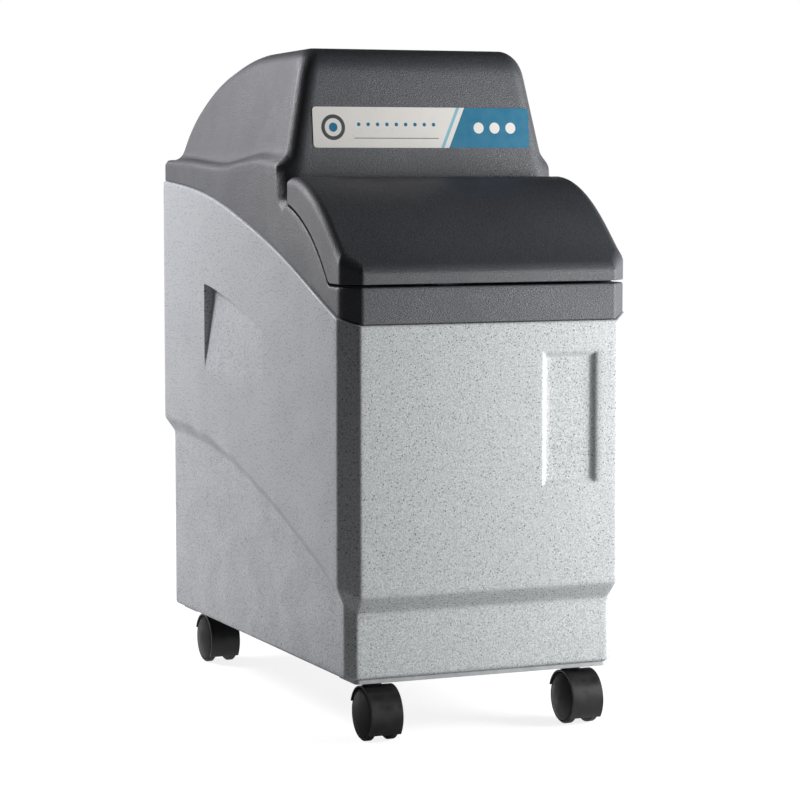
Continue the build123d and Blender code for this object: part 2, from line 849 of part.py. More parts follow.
# Resin tank on its foot, with the riser tube, baskets and resin bed
def tank_form(inset):
    """Pressure tank's outer form, or its inner one."""
    low = tank_bottom + inset
    high = tank_top - tank_neck_high - inset
    side = tank_r - inset
    neck = tank_neck_r - inset
    with BuildPart() as form:
        with BuildSketch(Plane.XZ.offset(-tank_y)):
            with BuildLine():
                sphere = (side**2 + tank_dome**2) / (2 * tank_dome)
                half_angle = asin(side / sphere) / 2
                middle = (sphere * sin(half_angle), low + sphere * (1 - cos(half_angle)))
                ThreePointArc((0, low), middle, (side, low + tank_dome))
                Line((side, low + tank_dome), (side, high - tank_dome))
                across = (side + neck) * tank_shoulder_share
                down = tank_dome * tank_shoulder_drop_share
                ThreePointArc((side, high - tank_dome), (across, high - down), (neck, high))
                Polyline((neck, high), (neck, tank_top), (0, tank_top), (0, low))
            make_face()
            fillet(vertices().group_by(Axis.X)[-1], tank_dome / 2)
        revolve(axis=Axis((0, tank_y, 0), (0, 0, 1)))
    return form.part


def upright(x, y, low, high, radius, hollow=0):
    """Upright round bar, or a tube where a hollow is given."""
    with BuildPart() as bar:
        with BuildSketch(Plane.XY.offset(low)):
            with Locations((x, y)):
                Circle(radius)
                if hollow > 0:
                    Circle(hollow, mode=Mode.SUBTRACT)
        extrude(amount=high - low)
    return bar.part


def level(x, z, start, end, radius, hollow=0):
    """Round bar or tube along Y."""
    with BuildPart() as bar:
        with BuildSketch(Plane.XZ.offset(-start)):
            with Locations((x, z)):
                Circle(radius)
                if hollow > 0:
                    Circle(hollow, mode=Mode.SUBTRACT)
        extrude(amount=-(end - start))
    return bar.part


with BuildPart() as resin_tank:
    add(tank_form(0))
    add(tank_form(tank_wall), mode=Mode.SUBTRACT)
save(resin_tank.part, "resin_tank")

base_r = tank_r + loose_gap
with BuildPart() as tank_base:
    add(upright(0, tank_y, well_foot, well_foot + base_high, base_r + base_wall))
    add(upright(0, tank_y, tank_bottom, well_foot + base_high + overrun, base_r), mode=Mode.SUBTRACT)
save(tank_base.part, "tank_base")

basket_bottom = tank_bottom + tank_wall + base_wall
riser_top = tank_top + collar_high / 2
with BuildPart() as riser_tube:
    add(upright(0, tank_y, basket_bottom + base_wall, riser_top, riser_r, riser_r - riser_wall))
save(riser_tube.part, "riser_tube")

slot_count = 12
with BuildPart() as lower_distributor:
    add(upright(0, tank_y, basket_bottom, basket_bottom + basket_high, basket_r))
    add(
        upright(0, tank_y, basket_bottom + base_wall, basket_bottom + basket_high, riser_r + running_gap),
        mode=Mode.SUBTRACT,
    )
    with BuildSketch(Plane.XY.offset(basket_bottom + base_wall * 2)):
        with Locations((0, tank_y)):
            with PolarLocations((basket_r + riser_r) / 2, slot_count):
                Rectangle(basket_r, riser_wall)
    extrude(amount=basket_high - 4 * base_wall, mode=Mode.SUBTRACT)
save(lower_distributor.part, "lower_distributor")

upper_low = tank_top - basket_high / 2
with BuildPart() as upper_distributor:
    add(upright(0, tank_y, upper_low, tank_top, basket_r, riser_r + running_gap))
    with BuildSketch(Plane.XY.offset(upper_low + base_wall)):
        with Locations((0, tank_y)):
            with PolarLocations(basket_r, slot_count):
                Rectangle(basket_r / 2, riser_wall)
    extrude(amount=basket_high / 2 - 3 * base_wall, mode=Mode.SUBTRACT)
save(upper_distributor.part, "upper_distributor")

bed_top = tank_bottom + tank_height * bed_share
with BuildPart() as resin_bed:
    add(tank_form(tank_wall + flat_gap))
    add(upright(0, tank_y, bed_top, tank_top + overrun, tank_r), mode=Mode.SUBTRACT)
    add(
        upright(0, tank_y, tank_bottom, basket_bottom + basket_high + flat_gap, basket_r + flat_gap),
        mode=Mode.SUBTRACT,
    )
    add(upright(0, tank_y, tank_bottom, bed_top + overrun, riser_r + flat_gap), mode=Mode.SUBTRACT)
save(resin_bed.part, "resin_bed")

# Control valve: collar on the tank's neck, column, piston bore and two ports
ring_r = 1.5
valve_foot = tank_top + 2 * ring_r
collar_bottom = valve_foot - collar_high
port_places = [-port_spacing / 2, port_spacing / 2]
with BuildPart() as valve_body:
    add(upright(0, tank_y, collar_bottom, valve_foot + base_wall * 2, collar_r))
    add(upright(0, tank_y, valve_foot, bore_z, valve_r + base_wall))
    add(level(0, bore_z, valve_front, valve_rear, valve_r))
    for x in port_places:
        add(level(x, port_z, tank_y - base_wall * 2, valve_rear, port_r))
    add(upright(0, tank_y, collar_bottom, valve_foot, tank_neck_r + running_gap), mode=Mode.SUBTRACT)
    add(upright(0, tank_y, valve_foot, riser_top, riser_r + running_gap), mode=Mode.SUBTRACT)
    add(upright(0, tank_y, valve_foot, bore_z, riser_r - riser_wall), mode=Mode.SUBTRACT)
    add(level(0, bore_z, valve_front, valve_rear - valve_r / 4, seal_r + running_gap), mode=Mode.SUBTRACT)
    for x in port_places:
        add(level(x, port_z, tank_y + port_r, valve_rear, port_bore_r), mode=Mode.SUBTRACT)
save(valve_body.part, "valve_body")

with BuildPart() as tank_o_ring:
    with BuildSketch(Plane.XZ.offset(-tank_y)):
        with Locations((tank_neck_r - 2 * ring_r, tank_top + ring_r)):
            Circle(ring_r)
    revolve(axis=Axis((0, tank_y, 0), (0, 0, 1)))
save(tank_o_ring.part, "tank_o_ring")

# Seal stack in the bore, with the piston that slides in it
stack_start = valve_front + flat_gap
stack_end = valve_rear - valve_r / 4 - flat_gap
window_rows = 4
with BuildPart() as seal_stack:
    add(level(0, bore_z, stack_start, stack_end, seal_r, piston_r + running_gap))
    pitch = (stack_end - stack_start) / window_rows
    for row in range(window_rows):
        place = stack_start + pitch * (row + 0.5)
        for turn in range(6):
            direction = Vector(cos(pi * turn / 3), 0, sin(pi * turn / 3))
            with BuildSketch(Plane(origin=(0, place, bore_z), z_dir=direction)):
                Circle((seal_r - piston_r) / 2)
            extrude(amount=2 * seal_r, mode=Mode.SUBTRACT)
save(seal_stack.part, "seal_stack")

gear_rear = valve_front - bracket_thick - bracket_gap
gear_front = gear_rear - gear_width
rod_front = gear_front - bracket_thick
piston_front = valve_front + piston_travel + bracket_thick
piston_rear = piston_front + piston_length
with BuildPart() as piston:
    add(level(0, bore_z, piston_front, piston_rear, piston_r))
    for share in (0.25, 0.6):
        start = piston_front + piston_length * share
        end = start + piston_length / 6
        add(level(0, bore_z, start, end, piston_r, piston_r - piston_groove), mode=Mode.SUBTRACT)
    add(level(0, bore_z, rod_front, piston_front, rod_r))
save(piston.part, "piston")


# Drive: motor, pinion and the large gear whose threaded hub moves the piston
def gear_corners(teeth, first_tooth):
    """Corners of an involute gear's outline, with a tooth at the first angle."""
    pitch_r = gear_module * teeth / 2
    base = pitch_r * cos(radians(pressure_angle))
    tip = pitch_r + gear_module
    root = pitch_r - dedendum_share * gear_module
    involute = tan(radians(pressure_angle)) - radians(pressure_angle)
    half_tooth = pi / (2 * teeth) - gear_backlash / (2 * pitch_r) + involute
    steps = 4
    flank = []
    for step in range(steps + 1):
        radius = max(base, root) + (tip - max(base, root)) * step / steps
        angle = acos(min(base / radius, 1))
        flank.append((radius, half_tooth - tan(angle) + angle))
    corners = []
    for tooth in range(teeth):
        middle = radians(first_tooth) + 2 * pi * tooth / teeth
        if root < base:
            corners.append((root, middle - half_tooth))
        corners += [(radius, middle - half) for radius, half in flank]
        corners += [(radius, middle + half) for radius, half in reversed(flank)]
        if root < base:
            corners.append((root, middle + half_tooth))
    return [(radius * cos(angle), radius * sin(angle)) for radius, angle in corners]


def gear_solid(teeth, first_tooth, x, z, start, width):
    """Spur gear on an axis along Y."""
    with BuildPart() as wheel:
        with BuildSketch(Plane(origin=(x, start, z), x_dir=(1, 0, 0), z_dir=(0, -1, 0))):
            with BuildLine():
                Polyline(*gear_corners(teeth, first_tooth), close=True)
            make_face()
        extrude(amount=-width)
    return wheel.part


pinion_distance = gear_module * (gear_teeth + pinion_teeth) / 2
pinion_x = pinion_distance * cos(radians(pinion_angle))
pinion_z = bore_z + pinion_distance * sin(radians(pinion_angle))
hub_r = 2 * rod_r
with BuildPart() as drive_gear:
    add(gear_solid(gear_teeth, pinion_angle, 0, bore_z, gear_front, gear_width))
    add(level(0, bore_z, gear_rear, valve_front, hub_r))
    add(level(0, bore_z, gear_front, valve_front, rod_r + running_gap), mode=Mode.SUBTRACT)
    for turn in range(6):
        angle = radians(pinion_angle) + pi * turn / 3
        arm = gear_module * gear_teeth / 4 + rod_r
        x = arm * cos(angle)
        z = bore_z + arm * sin(angle)
        add(level(x, z, gear_front, gear_rear, hub_r * 0.75), mode=Mode.SUBTRACT)
save(drive_gear.part, "drive_gear")

shaft_end = valve_front + motor_length / 4
with BuildPart() as motor_pinion:
    half_pitch = 180 / pinion_teeth
    first_tooth = pinion_angle + 180 + half_pitch
    add(gear_solid(pinion_teeth, first_tooth, pinion_x, pinion_z, gear_front, gear_width))
    add(level(pinion_x, pinion_z, gear_front, shaft_end, motor_shaft_r))
save(motor_pinion.part, "motor_pinion")

bracket_half = control_half - control_wall - flat_gap
bracket_low = bore_z - control_low + control_wall + flat_gap
bracket_high = bore_z + control_high - control_wall - flat_gap
bracket_front = valve_front - bracket_thick
with BuildPart() as gear_bracket:
    with BuildSketch(Plane.XZ.offset(-bracket_front)):
        with Locations((0, (bracket_low + bracket_high) / 2)):
            RectangleRounded(2 * bracket_half, bracket_high - bracket_low, bracket_thick)
        with Locations((0, bore_z)):
            Circle(hub_r + running_gap, mode=Mode.SUBTRACT)
        with Locations((pinion_x, pinion_z)):
            Circle(motor_shaft_r + loose_gap, mode=Mode.SUBTRACT)
    extrude(amount=-bracket_thick)
save(gear_bracket.part, "gear_bracket")

with BuildPart() as drive_motor:
    add(level(pinion_x, pinion_z, valve_front, valve_front + motor_length, motor_r))
    add(
        level(pinion_x, pinion_z, valve_front, shaft_end + flat_gap, motor_shaft_r + running_gap),
        mode=Mode.SUBTRACT,
    )
    motor_end = valve_front + motor_length
    add(level(pinion_x, pinion_z, motor_end, motor_end + motor_r / 4, motor_r / 2))
save(drive_motor.part, "drive_motor")

# Control: shell over the drive, window, board and three buttons
control_front = valve_front - control_deep
window_z = bore_z + control_high / 2
button_z = window_z - button_drop
button_spots = [(step * button_pitch, button_z) for step in (-1, 0, 1)]
control_middle = bore_z + (control_high - control_low) / 2
control_tall = control_high + control_low
with BuildPart() as control_cover:
    with BuildSketch(Plane.XZ.offset(-control_front)):
        with Locations((0, control_middle)):
            RectangleRounded(2 * control_half, control_tall, bracket_thick)
    extrude(amount=-control_deep)
    with BuildSketch(Plane.XZ.offset(-(control_front + control_wall))):
        with Locations((0, control_middle)):
            Rectangle(2 * (control_half - control_wall), control_tall - 2 * control_wall)
    extrude(amount=-control_deep, mode=Mode.SUBTRACT)
    with BuildSketch(Plane.XZ.offset(-control_front)):
        with Locations((0, window_z)):
            Rectangle(window_width, window_height)
        with Locations(*button_spots):
            Circle(button_r + flat_gap)
    extrude(amount=-control_wall, mode=Mode.SUBTRACT)
save(control_cover.part, "control_cover")

with BuildPart() as display_window:
    with BuildSketch(Plane.XZ.offset(-(control_front + control_wall - window_thick))):
        with Locations((0, window_z)):
            Rectangle(window_width - flat_gap, window_height - flat_gap)
    extrude(amount=-window_thick)
    with BuildSketch(Plane.XZ.offset(-(control_front + control_wall))):
        with Locations((0, window_z)):
            Rectangle(window_width + 2 * control_wall, window_height + control_wall)
    extrude(amount=-window_thick)
save(display_window.part, "display_window")

button_rear = control_front + control_wall + flat_gap + window_thick
board_front = button_rear + button_travel + board_thick
with BuildPart() as control_board:
    with BuildSketch(Plane.XZ.offset(-board_front)):
        with Locations((0, (window_z + button_z) / 2)):
            Rectangle(window_width + button_pitch, window_height + 2 * button_drop)
    extrude(amount=-board_thick)
    for x in (-1, 1):
        for z in (-1, 1):
            place = x * (window_width + button_pitch - button_r) / 2
            height = (window_z + button_z) / 2 + z * (window_height / 2 + button_drop - button_r / 2)
            add(level(place, height, board_front, bracket_front, board_thick))
save(control_board.part, "control_board")

for (x, z), word in zip(button_spots, ("down", "set", "up")):
    flange_front = control_front + control_wall + flat_gap
    with BuildPart() as button:
        add(level(x, z, control_front - button_out, flange_front, button_r))
        add(level(x, z, flange_front, button_rear, button_r + flat_gap + window_thick / 2))
    save(button.part, f"{word}_button")

with BuildPart() as power_inlet:
    socket = Plane(origin=(-control_half, control_front + control_deep / 2, bore_z), z_dir=(-1, 0, 0))
    with BuildSketch(socket):
        Circle(inlet_socket_r)
        Circle(inlet_socket_bore, mode=Mode.SUBTRACT)
    extrude(amount=inlet_socket_long)
    with BuildSketch(socket):
        Circle(inlet_socket_r * 1.5)
    extrude(amount=control_wall / 2)
save(power_inlet.part, "power_inlet")

# Bypass: two shut-off rotors side by side, pipe ends to the rear
bypass_front = valve_rear + flat_gap
bypass_y = bypass_front + bypass_deep / 2
body_half_high = rotor_r + bypass_wall
flange_end = bypass_rear + spigot_flange
with BuildPart() as bypass_body:
    for x in port_places:
        add(upright(x, bypass_y, port_z - body_half_high, port_z + body_half_high, bypass_deep / 2))
        add(level(x, port_z, bypass_front, bypass_rear - bypass_wall, port_r - flange_lip / 2))
        add(level(x, port_z, bypass_rear - bypass_wall / 2, flange_end, port_r + flange_lip))
        add(level(x, port_z, bypass_y, port_end, spigot_r))
    with BuildSketch(Plane.XZ.offset(-(bypass_y - bypass_wall))):
        with Locations((0, port_z - bypass_wall)):
            Rectangle(port_spacing, 2 * bypass_wall)
    extrude(amount=-2 * bypass_wall)
    for x in port_places:
        add(level(x, port_z, bypass_front, port_end, port_bore_r), mode=Mode.SUBTRACT)
        low = port_z - rotor_r - flat_gap
        add(upright(x, bypass_y, low, port_z + body_half_high, rotor_r + running_gap), mode=Mode.SUBTRACT)
save(bypass_body.part, "bypass_body")

knob_bottom = port_z + body_half_high + flat_gap
for x, word in zip(port_places, ("outlet", "inlet")):
    with BuildPart() as handle:
        add(upright(x, bypass_y, port_z - rotor_r, knob_bottom, rotor_r))
        add(level(x, port_z, bypass_front, bypass_rear, port_bore_r - flat_gap), mode=Mode.SUBTRACT)
        add(upright(x, bypass_y, knob_bottom, knob_bottom + knob_high / 3, knob_r))
        with BuildSketch(Plane.XY.offset(knob_bottom + knob_high / 3)):
            with Locations((x, bypass_y)):
                SlotOverall(2 * knob_r - knob_wing, 2 * knob_wing, rotation=90)
        extrude(amount=knob_high * 2 / 3)
    save(handle.part, f"bypass_{word}_handle")

# Flow turbine on its pin in the outlet port
turbine_x = port_places[0]
turbine_y = valve_rear - port_r - turbine_long / 2
with BuildPart() as turbine_pin:
    add(level(turbine_x, port_z, turbine_y - turbine_long, turbine_y + turbine_long, turbine_pin_r))
    spider = turbine_y + turbine_long / 2 + flat_gap
    with BuildSketch(Plane.XZ.offset(-spider)):
        with Locations((turbine_x, port_z)):
            with PolarLocations(port_bore_r / 2, 3, start_angle=90):
                Rectangle(port_bore_r - running_gap, turbine_pin_r * 1.5)
    extrude(amount=-turbine_long / 3)
save(turbine_pin.part, "turbine_pin")

blades = 5
with BuildPart() as flow_turbine:
    start = turbine_y - turbine_long / 2
    add(level(turbine_x, port_z, start, start + turbine_long, turbine_hub_r))
    with BuildSketch(Plane.XZ.offset(-start)):
        with Locations((turbine_x, port_z)):
            with PolarLocations(turbine_r / 2, blades):
                Rectangle(turbine_r, turbine_pin_r)
    extrude(amount=-turbine_long)
    add(
        level(turbine_x, port_z, start, start + turbine_long, turbine_pin_r + running_gap),
        mode=Mode.SUBTRACT,
    )
save(flow_turbine.part, "flow_turbine")

# Drain fitting behind the bore, and the injector block on the valve's left side
drain_z = bore_z + drain_r / 2
with BuildPart() as drain_fitting:
    add(level(0, drain_z, valve_rear, valve_rear + 2 * drain_r, drain_r * 1.4))
    add(level(0, drain_z, valve_rear, port_end, drain_r))
    add(level(0, drain_z, valve_rear, port_end, drain_bore_r), mode=Mode.SUBTRACT)
save(drain_fitting.part, "drain_fitting")

injector_y = valve_front + injector_size
injector_x = -(valve_r + injector_size)
with BuildPart() as injector_block:
    with BuildSketch(Plane.YZ.offset(injector_x)):
        with Locations((injector_y, bore_z)):
            RectangleRounded(injector_size, injector_size, bracket_thick)
    extrude(amount=-injector_x - bracket_thick)
    add(level(0, bore_z, valve_front, valve_rear, valve_r), mode=Mode.SUBTRACT)
save(injector_block.part, "injector_block")

# Brine well with its cap, pickup tube, float and line
slot_low = well_foot + 3 * well_wall
with BuildPart() as brine_well:
    add(upright(well_x, well_y, well_foot, well_top, well_r, well_r - well_wall))
    with BuildSketch(Plane.XY.offset(slot_low)):
        with Locations((well_x, well_y)):
            with PolarLocations(well_r, slot_count):
                Rectangle(3 * well_wall, 2 * well_wall)
    extrude(amount=basket_high, mode=Mode.SUBTRACT)
    line_z = well_top - 2 * cap_high
    add(level(well_x, line_z, well_y, well_y + 2 * well_r, pickup_r + loose_gap), mode=Mode.SUBTRACT)
save(brine_well.part, "brine_well")

plug_r = well_r - well_wall - flat_gap
with BuildPart() as brine_well_cap:
    add(upright(well_x, well_y, well_top + flat_gap, well_top + flat_gap + base_wall, well_r + well_wall))
    add(upright(well_x, well_y, well_top - cap_high, well_top + flat_gap, plug_r, plug_r - well_wall))
save(brine_well_cap.part, "brine_well_cap")

pickup_low = well_foot + 2 * well_wall
stop_low = pickup_low + 2 * cap_high
float_low = stop_low + flat_gap
stop_high = float_low + float_high + float_travel + flat_gap
line_start = well_y + well_r + pickup_r
with BuildPart() as brine_pickup:
    add(upright(well_x, well_y, pickup_low, line_z, pickup_r))
    add(level(well_x, line_z, well_y, line_start, pickup_r))
    add(upright(well_x, well_y, pickup_low, stop_low, pickup_r + 2 * well_wall))
    add(upright(well_x, well_y, stop_high, stop_high + 2 * well_wall, pickup_r + 2 * well_wall))
    add(upright(well_x, well_y, pickup_low, line_z, pickup_r - pickup_wall), mode=Mode.SUBTRACT)
    add(level(well_x, line_z, well_y, line_start, pickup_r - pickup_wall), mode=Mode.SUBTRACT)
save(brine_pickup.part, "brine_pickup")

with BuildPart() as brine_float:
    add(upright(well_x, well_y, float_low, float_low + float_high, float_r, pickup_r + 2 * running_gap))
    rims = brine_float.edges().filter_by(GeomType.CIRCLE).group_by(SortBy.RADIUS)[-1]
    fillet(rims, float_r / 6)
save(brine_float.part, "brine_float")

line_turn_y = line_start + line_bend * 1.2
line_path = [
    (well_x, line_start, line_z),
    (well_x, line_turn_y, line_z),
    (well_x, line_turn_y, bore_z),
    (well_x, injector_y, bore_z),
    (injector_x, injector_y, bore_z),
]
bends = [line_bend * line_first_share, line_bend, (injector_x - well_x) * line_last_share]
with BuildPart() as brine_line:
    with BuildLine() as route:
        FilletPolyline(*line_path, radius=bends)
    with BuildSketch(Plane(origin=line_path[0], z_dir=(0, 1, 0))):
        Circle(line_r)
        Circle(line_r - line_wall, mode=Mode.SUBTRACT)
    sweep(path=route.wires()[0])
save(brine_line.part, "brine_line")
print("brine line bends", [round(radius, 1) for radius in bends])

# Overflow fitting through the rear wall, with its flange and nut
wall_inside = rear_y - cabinet_wall
with BuildPart() as overflow_fitting:
    add(level(overflow_x, overflow_height, wall_inside - 3 * base_wall, port_end, overflow_r))
    add(level(overflow_x, overflow_height, rear_y, rear_y + base_wall, overflow_r * 1.5))
    add(level(overflow_x, overflow_height, wall_inside - base_wall, wall_inside, overflow_r * 1.4))
    add(
        level(overflow_x, overflow_height, wall_inside - 3 * base_wall, port_end, overflow_bore_r),
        mode=Mode.SUBTRACT,
    )
save(overflow_fitting.part, "overflow_fitting")
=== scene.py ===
import json
from math import radians

import bmesh
import bpy
import numpy as np
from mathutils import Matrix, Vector


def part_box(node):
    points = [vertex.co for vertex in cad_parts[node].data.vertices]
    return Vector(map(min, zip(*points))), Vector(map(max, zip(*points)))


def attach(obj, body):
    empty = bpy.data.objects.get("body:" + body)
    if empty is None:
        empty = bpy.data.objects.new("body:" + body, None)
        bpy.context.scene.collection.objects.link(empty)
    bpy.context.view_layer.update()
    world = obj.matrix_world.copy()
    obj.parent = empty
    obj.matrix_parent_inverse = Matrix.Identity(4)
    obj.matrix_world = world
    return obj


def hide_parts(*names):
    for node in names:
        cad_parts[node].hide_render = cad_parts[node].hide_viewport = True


# Compact cabinet water softener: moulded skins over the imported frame, and a finish for every piece
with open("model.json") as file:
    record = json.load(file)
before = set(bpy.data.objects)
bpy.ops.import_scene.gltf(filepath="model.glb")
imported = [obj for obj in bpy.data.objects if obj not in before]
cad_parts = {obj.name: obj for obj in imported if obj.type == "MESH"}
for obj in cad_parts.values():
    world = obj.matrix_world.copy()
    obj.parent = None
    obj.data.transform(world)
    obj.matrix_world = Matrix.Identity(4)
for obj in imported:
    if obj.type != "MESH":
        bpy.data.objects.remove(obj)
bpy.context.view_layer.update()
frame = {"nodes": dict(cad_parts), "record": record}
scene = bpy.context.scene
scene.view_settings.view_transform = "Standard"
mm = 0.001
sharpAngle = radians(40)
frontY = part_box("cabinet")[0].y / mm    # places below are in mm, counted from the cabinet's front
print("frame loaded")

# Materials. Patterns read Object coordinates, in metres, so a scale of 400 is a 2.5 mm pattern.
class Finish:
    def __init__(self, name, roughness, metallic=0.0, specular=0.5):
        self.material = bpy.data.materials.new(name)
        self.material.use_nodes = True
        self.nodes, self.links = self.material.node_tree.nodes, self.material.node_tree.links
        self.shader = self.nodes["Principled BSDF"]
        self.shader.inputs["Metallic"].default_value = metallic
        self.shader.inputs["Roughness"].default_value = roughness
        self.shader.inputs["Specular IOR Level"].default_value = specular
        self.coords = self.nodes.new("ShaderNodeTexCoord").outputs["Object"]

    def mapped(self, scale=(1, 1, 1), turn=(0, 0, 0)):
        node = self.nodes.new("ShaderNodeMapping")
        node.inputs["Scale"].default_value = scale
        node.inputs["Rotation"].default_value = turn
        self.links.new(self.coords, node.inputs["Vector"])
        return node.outputs["Vector"]

    def noise(self, scale, detail=3.0, rough=0.5, distortion=0.0, at=None):
        node = self.nodes.new("ShaderNodeTexNoise")
        node.inputs["Scale"].default_value = scale
        node.inputs["Detail"].default_value = detail
        node.inputs["Roughness"].default_value = rough
        node.inputs["Distortion"].default_value = distortion
        self.links.new(at or self.coords, node.inputs["Vector"])
        return node.outputs["Fac"]

    def cells(self, scale, feature="F1", output="Distance", at=None):
        node = self.nodes.new("ShaderNodeTexVoronoi")
        node.feature = feature
        node.inputs["Scale"].default_value = scale
        self.links.new(at or self.coords, node.inputs["Vector"])
        return node.outputs[output]

    def math(self, operation, a, b=0.0):
        node = self.nodes.new("ShaderNodeMath")
        node.operation = operation
        for socket, value in zip(node.inputs, (a, b)):
            if isinstance(value, (int, float)):
                socket.default_value = value
            else:
                self.links.new(value, socket)
        return node.outputs[0]

    def band(self, value, start, end, low=0.0, high=1.0, kind="SMOOTHSTEP"):
        # low up to start, high from end on, eased between
        node = self.nodes.new("ShaderNodeMapRange")
        node.interpolation_type = kind
        self.links.new(value, node.inputs["Value"])
        for name, number in zip(("From Min", "From Max", "To Min", "To Max"), (start, end, low, high)):
            node.inputs[name].default_value = number
        return node.outputs["Result"]

    def blend(self, factor, a, b):
        node = self.nodes.new("ShaderNodeMix")
        node.data_type = "RGBA"
        self.links.new(factor, node.inputs["Factor"])
        for socket, value in zip((node.inputs["A"], node.inputs["B"]), (a, b)):
            if isinstance(value, (tuple, list)):
                socket.default_value = (*value, 1) if len(value) == 3 else value
            else:
                self.links.new(value, socket)
        return node.outputs["Result"]

    def axis(self, name):
        node = self.nodes.new("ShaderNodeSeparateXYZ")
        self.links.new(self.coords, node.inputs[0])
        return node.outputs[name]

    def colour(self, value):
        self.links.new(value, self.shader.inputs["Base Color"])

    def rough(self, value):
        self.links.new(value, self.shader.inputs["Roughness"])

    def gloss(self, scale, middle, less, more):
        # roughness that changes slowly about its middle value
        self.rough(self.band(self.noise(scale, 3), 0.3, 0.7, middle - less, middle + more))

    def relief(self, height, depth, strength=1.0, edge=0.0):
        # bump of a depth in metres; edge softens corners by that radius
        node = self.nodes.new("ShaderNodeBump")
        node.inputs["Strength"].default_value = strength
        node.inputs["Distance"].default_value = depth
        self.links.new(height, node.inputs["Height"])
        if edge:
            soft = self.nodes.new("ShaderNodeBevel")
            soft.samples = 6
            soft.inputs["Radius"].default_value = edge
            self.links.new(soft.outputs["Normal"], node.inputs["Normal"])
        self.links.new(node.outputs["Normal"], self.shader.inputs["Normal"])


# Camera, solved from the cabinet's edges in the photograph
cameraLook = {"place": (-1.08738, -2.61094, 0.54122), "azimuth": -23.104, "elevation": 4.912,
              "lens": 123.56, "sensor": 36.0, "reach": 50}


def makeCamera(look):
    camera = bpy.data.objects.new("Camera", bpy.data.cameras.new("Camera"))
    camera.data.lens = look["lens"]
    camera.data.sensor_width = look["sensor"]
    camera.data.clip_end = look["reach"]
    turn, tilt = radians(look["azimuth"]), radians(look["elevation"])
    back = Vector((np.sin(turn) * np.cos(tilt), -np.cos(turn) * np.cos(tilt), np.sin(tilt)))
    camera.location = look["place"]
    camera.rotation_euler = (-back).to_track_quat("-Z", "Y").to_euler()
    scene.collection.objects.link(camera)
    scene.camera = camera


makeCamera(cameraLook)

# Lamps: one low at the front right, one low at the rear left, so that the corner between them stays dark
lampLook = {
    "right": {"place": (0.9, -0.7, 0.42), "size": 0.6, "power": 19.5, "colour": (1.0, 0.995, 0.985)},
    "left": {"place": (-1.0, 0.98, 1.2), "size": 0.6, "power": 23, "colour": (0.97, 0.955, 1.0)},
}
lampAim = (0, 0, 0.35)
stageLook = {"floor": 0.35, "wall": 0.1, "world": 0.045, "near": (0.4, 1.1), "shade": 0.84, "radius": 7.0,
             "height": 2.4, "sides": 96, "dark": (-0.88, -0.475, 0.0), "darkEdges": (0.35, 0.8)}


def makeLamps(looks):
    for name, look in looks.items():
        data = bpy.data.lights.new(name + "Lamp", "AREA")
        data.size = look["size"]
        data.energy = look["power"]
        data.color = look["colour"]
        lamp = bpy.data.objects.new(name + "Lamp", data)
        lamp.location = look["place"]
        lamp.rotation_euler = (Vector(lampAim) - lamp.location).to_track_quat("-Z", "Y").to_euler()
        scene.collection.objects.link(lamp)


def whiteWhenSeen(name, colour, look):
    # a plain surface that also glows for rays from the camera, mirrors and glass: white past the near band, less by
    # the object; towards the dark direction mirrors see no glow, as at an unlit end of the studio
    f = Finish(name, 0.9, specular=0.0)
    f.shader.inputs["Base Color"].default_value = (colour,) * 3 + (1,)
    f.shader.inputs["Emission Color"].default_value = (1, 1, 1, 1)
    path = f.nodes.new("ShaderNodeLightPath").outputs
    reach, aim, facing = (f.nodes.new("ShaderNodeVectorMath") for _ in range(3))
    reach.operation, aim.operation, facing.operation = "LENGTH", "NORMALIZE", "DOT_PRODUCT"
    f.links.new(f.coords, reach.inputs[0])
    f.links.new(f.coords, aim.inputs[0])
    f.links.new(aim.outputs["Vector"], facing.inputs[0])
    facing.inputs[1].default_value = look["dark"]
    unlit = f.band(facing.outputs["Value"], *look["darkEdges"], 1.0, 0.0, kind="LINEAR")
    seen = f.math("MAXIMUM", path["Is Camera Ray"], path["Is Transmission Ray"])
    glow = f.band(reach.outputs["Value"], *look["near"], look["shade"], 1.0, kind="LINEAR")
    mirrored = f.math("MULTIPLY", path["Is Glossy Ray"], unlit)
    f.links.new(f.math("MULTIPLY", f.math("MAXIMUM", seen, mirrored), glow), f.shader.inputs["Emission Strength"])
    f.material.cycles.emission_sampling = "NONE"
    return f.material


def makeStage(look):
    scene.world = bpy.data.worlds.new("studio")
    scene.world.use_nodes = True
    background = scene.world.node_tree.nodes["Background"]
    background.inputs["Color"].default_value = (1, 1, 1, 1)
    background.inputs["Strength"].default_value = look["world"]
    count = look["sides"]
    angle = np.linspace(0, 2 * np.pi, count, endpoint=False)
    ring = np.column_stack([np.cos(angle), np.sin(angle), 0 * angle]) * look["radius"]
    wall = np.vstack([ring, ring + (0, 0, look["height"])])
    after = np.roll(np.arange(count), -1)
    wallFaces = [(int(b), int(a), int(a) + count, int(b) + count) for a, b in zip(range(count), after)]
    for name, points, faces, colour in (("floor", ring, [tuple(range(count))], look["floor"]),
                                        ("backdrop", wall, wallFaces, look["wall"])):
        mesh = bpy.data.meshes.new(name)
        mesh.from_pydata(points, [], faces)
        mesh.materials.append(whiteWhenSeen(name, colour, look))
        piece = bpy.data.objects.new(name, mesh)
        scene.collection.objects.link(piece)


makeLamps(lampLook)
makeStage(stageLook)
print("camera, lamps and floor made")


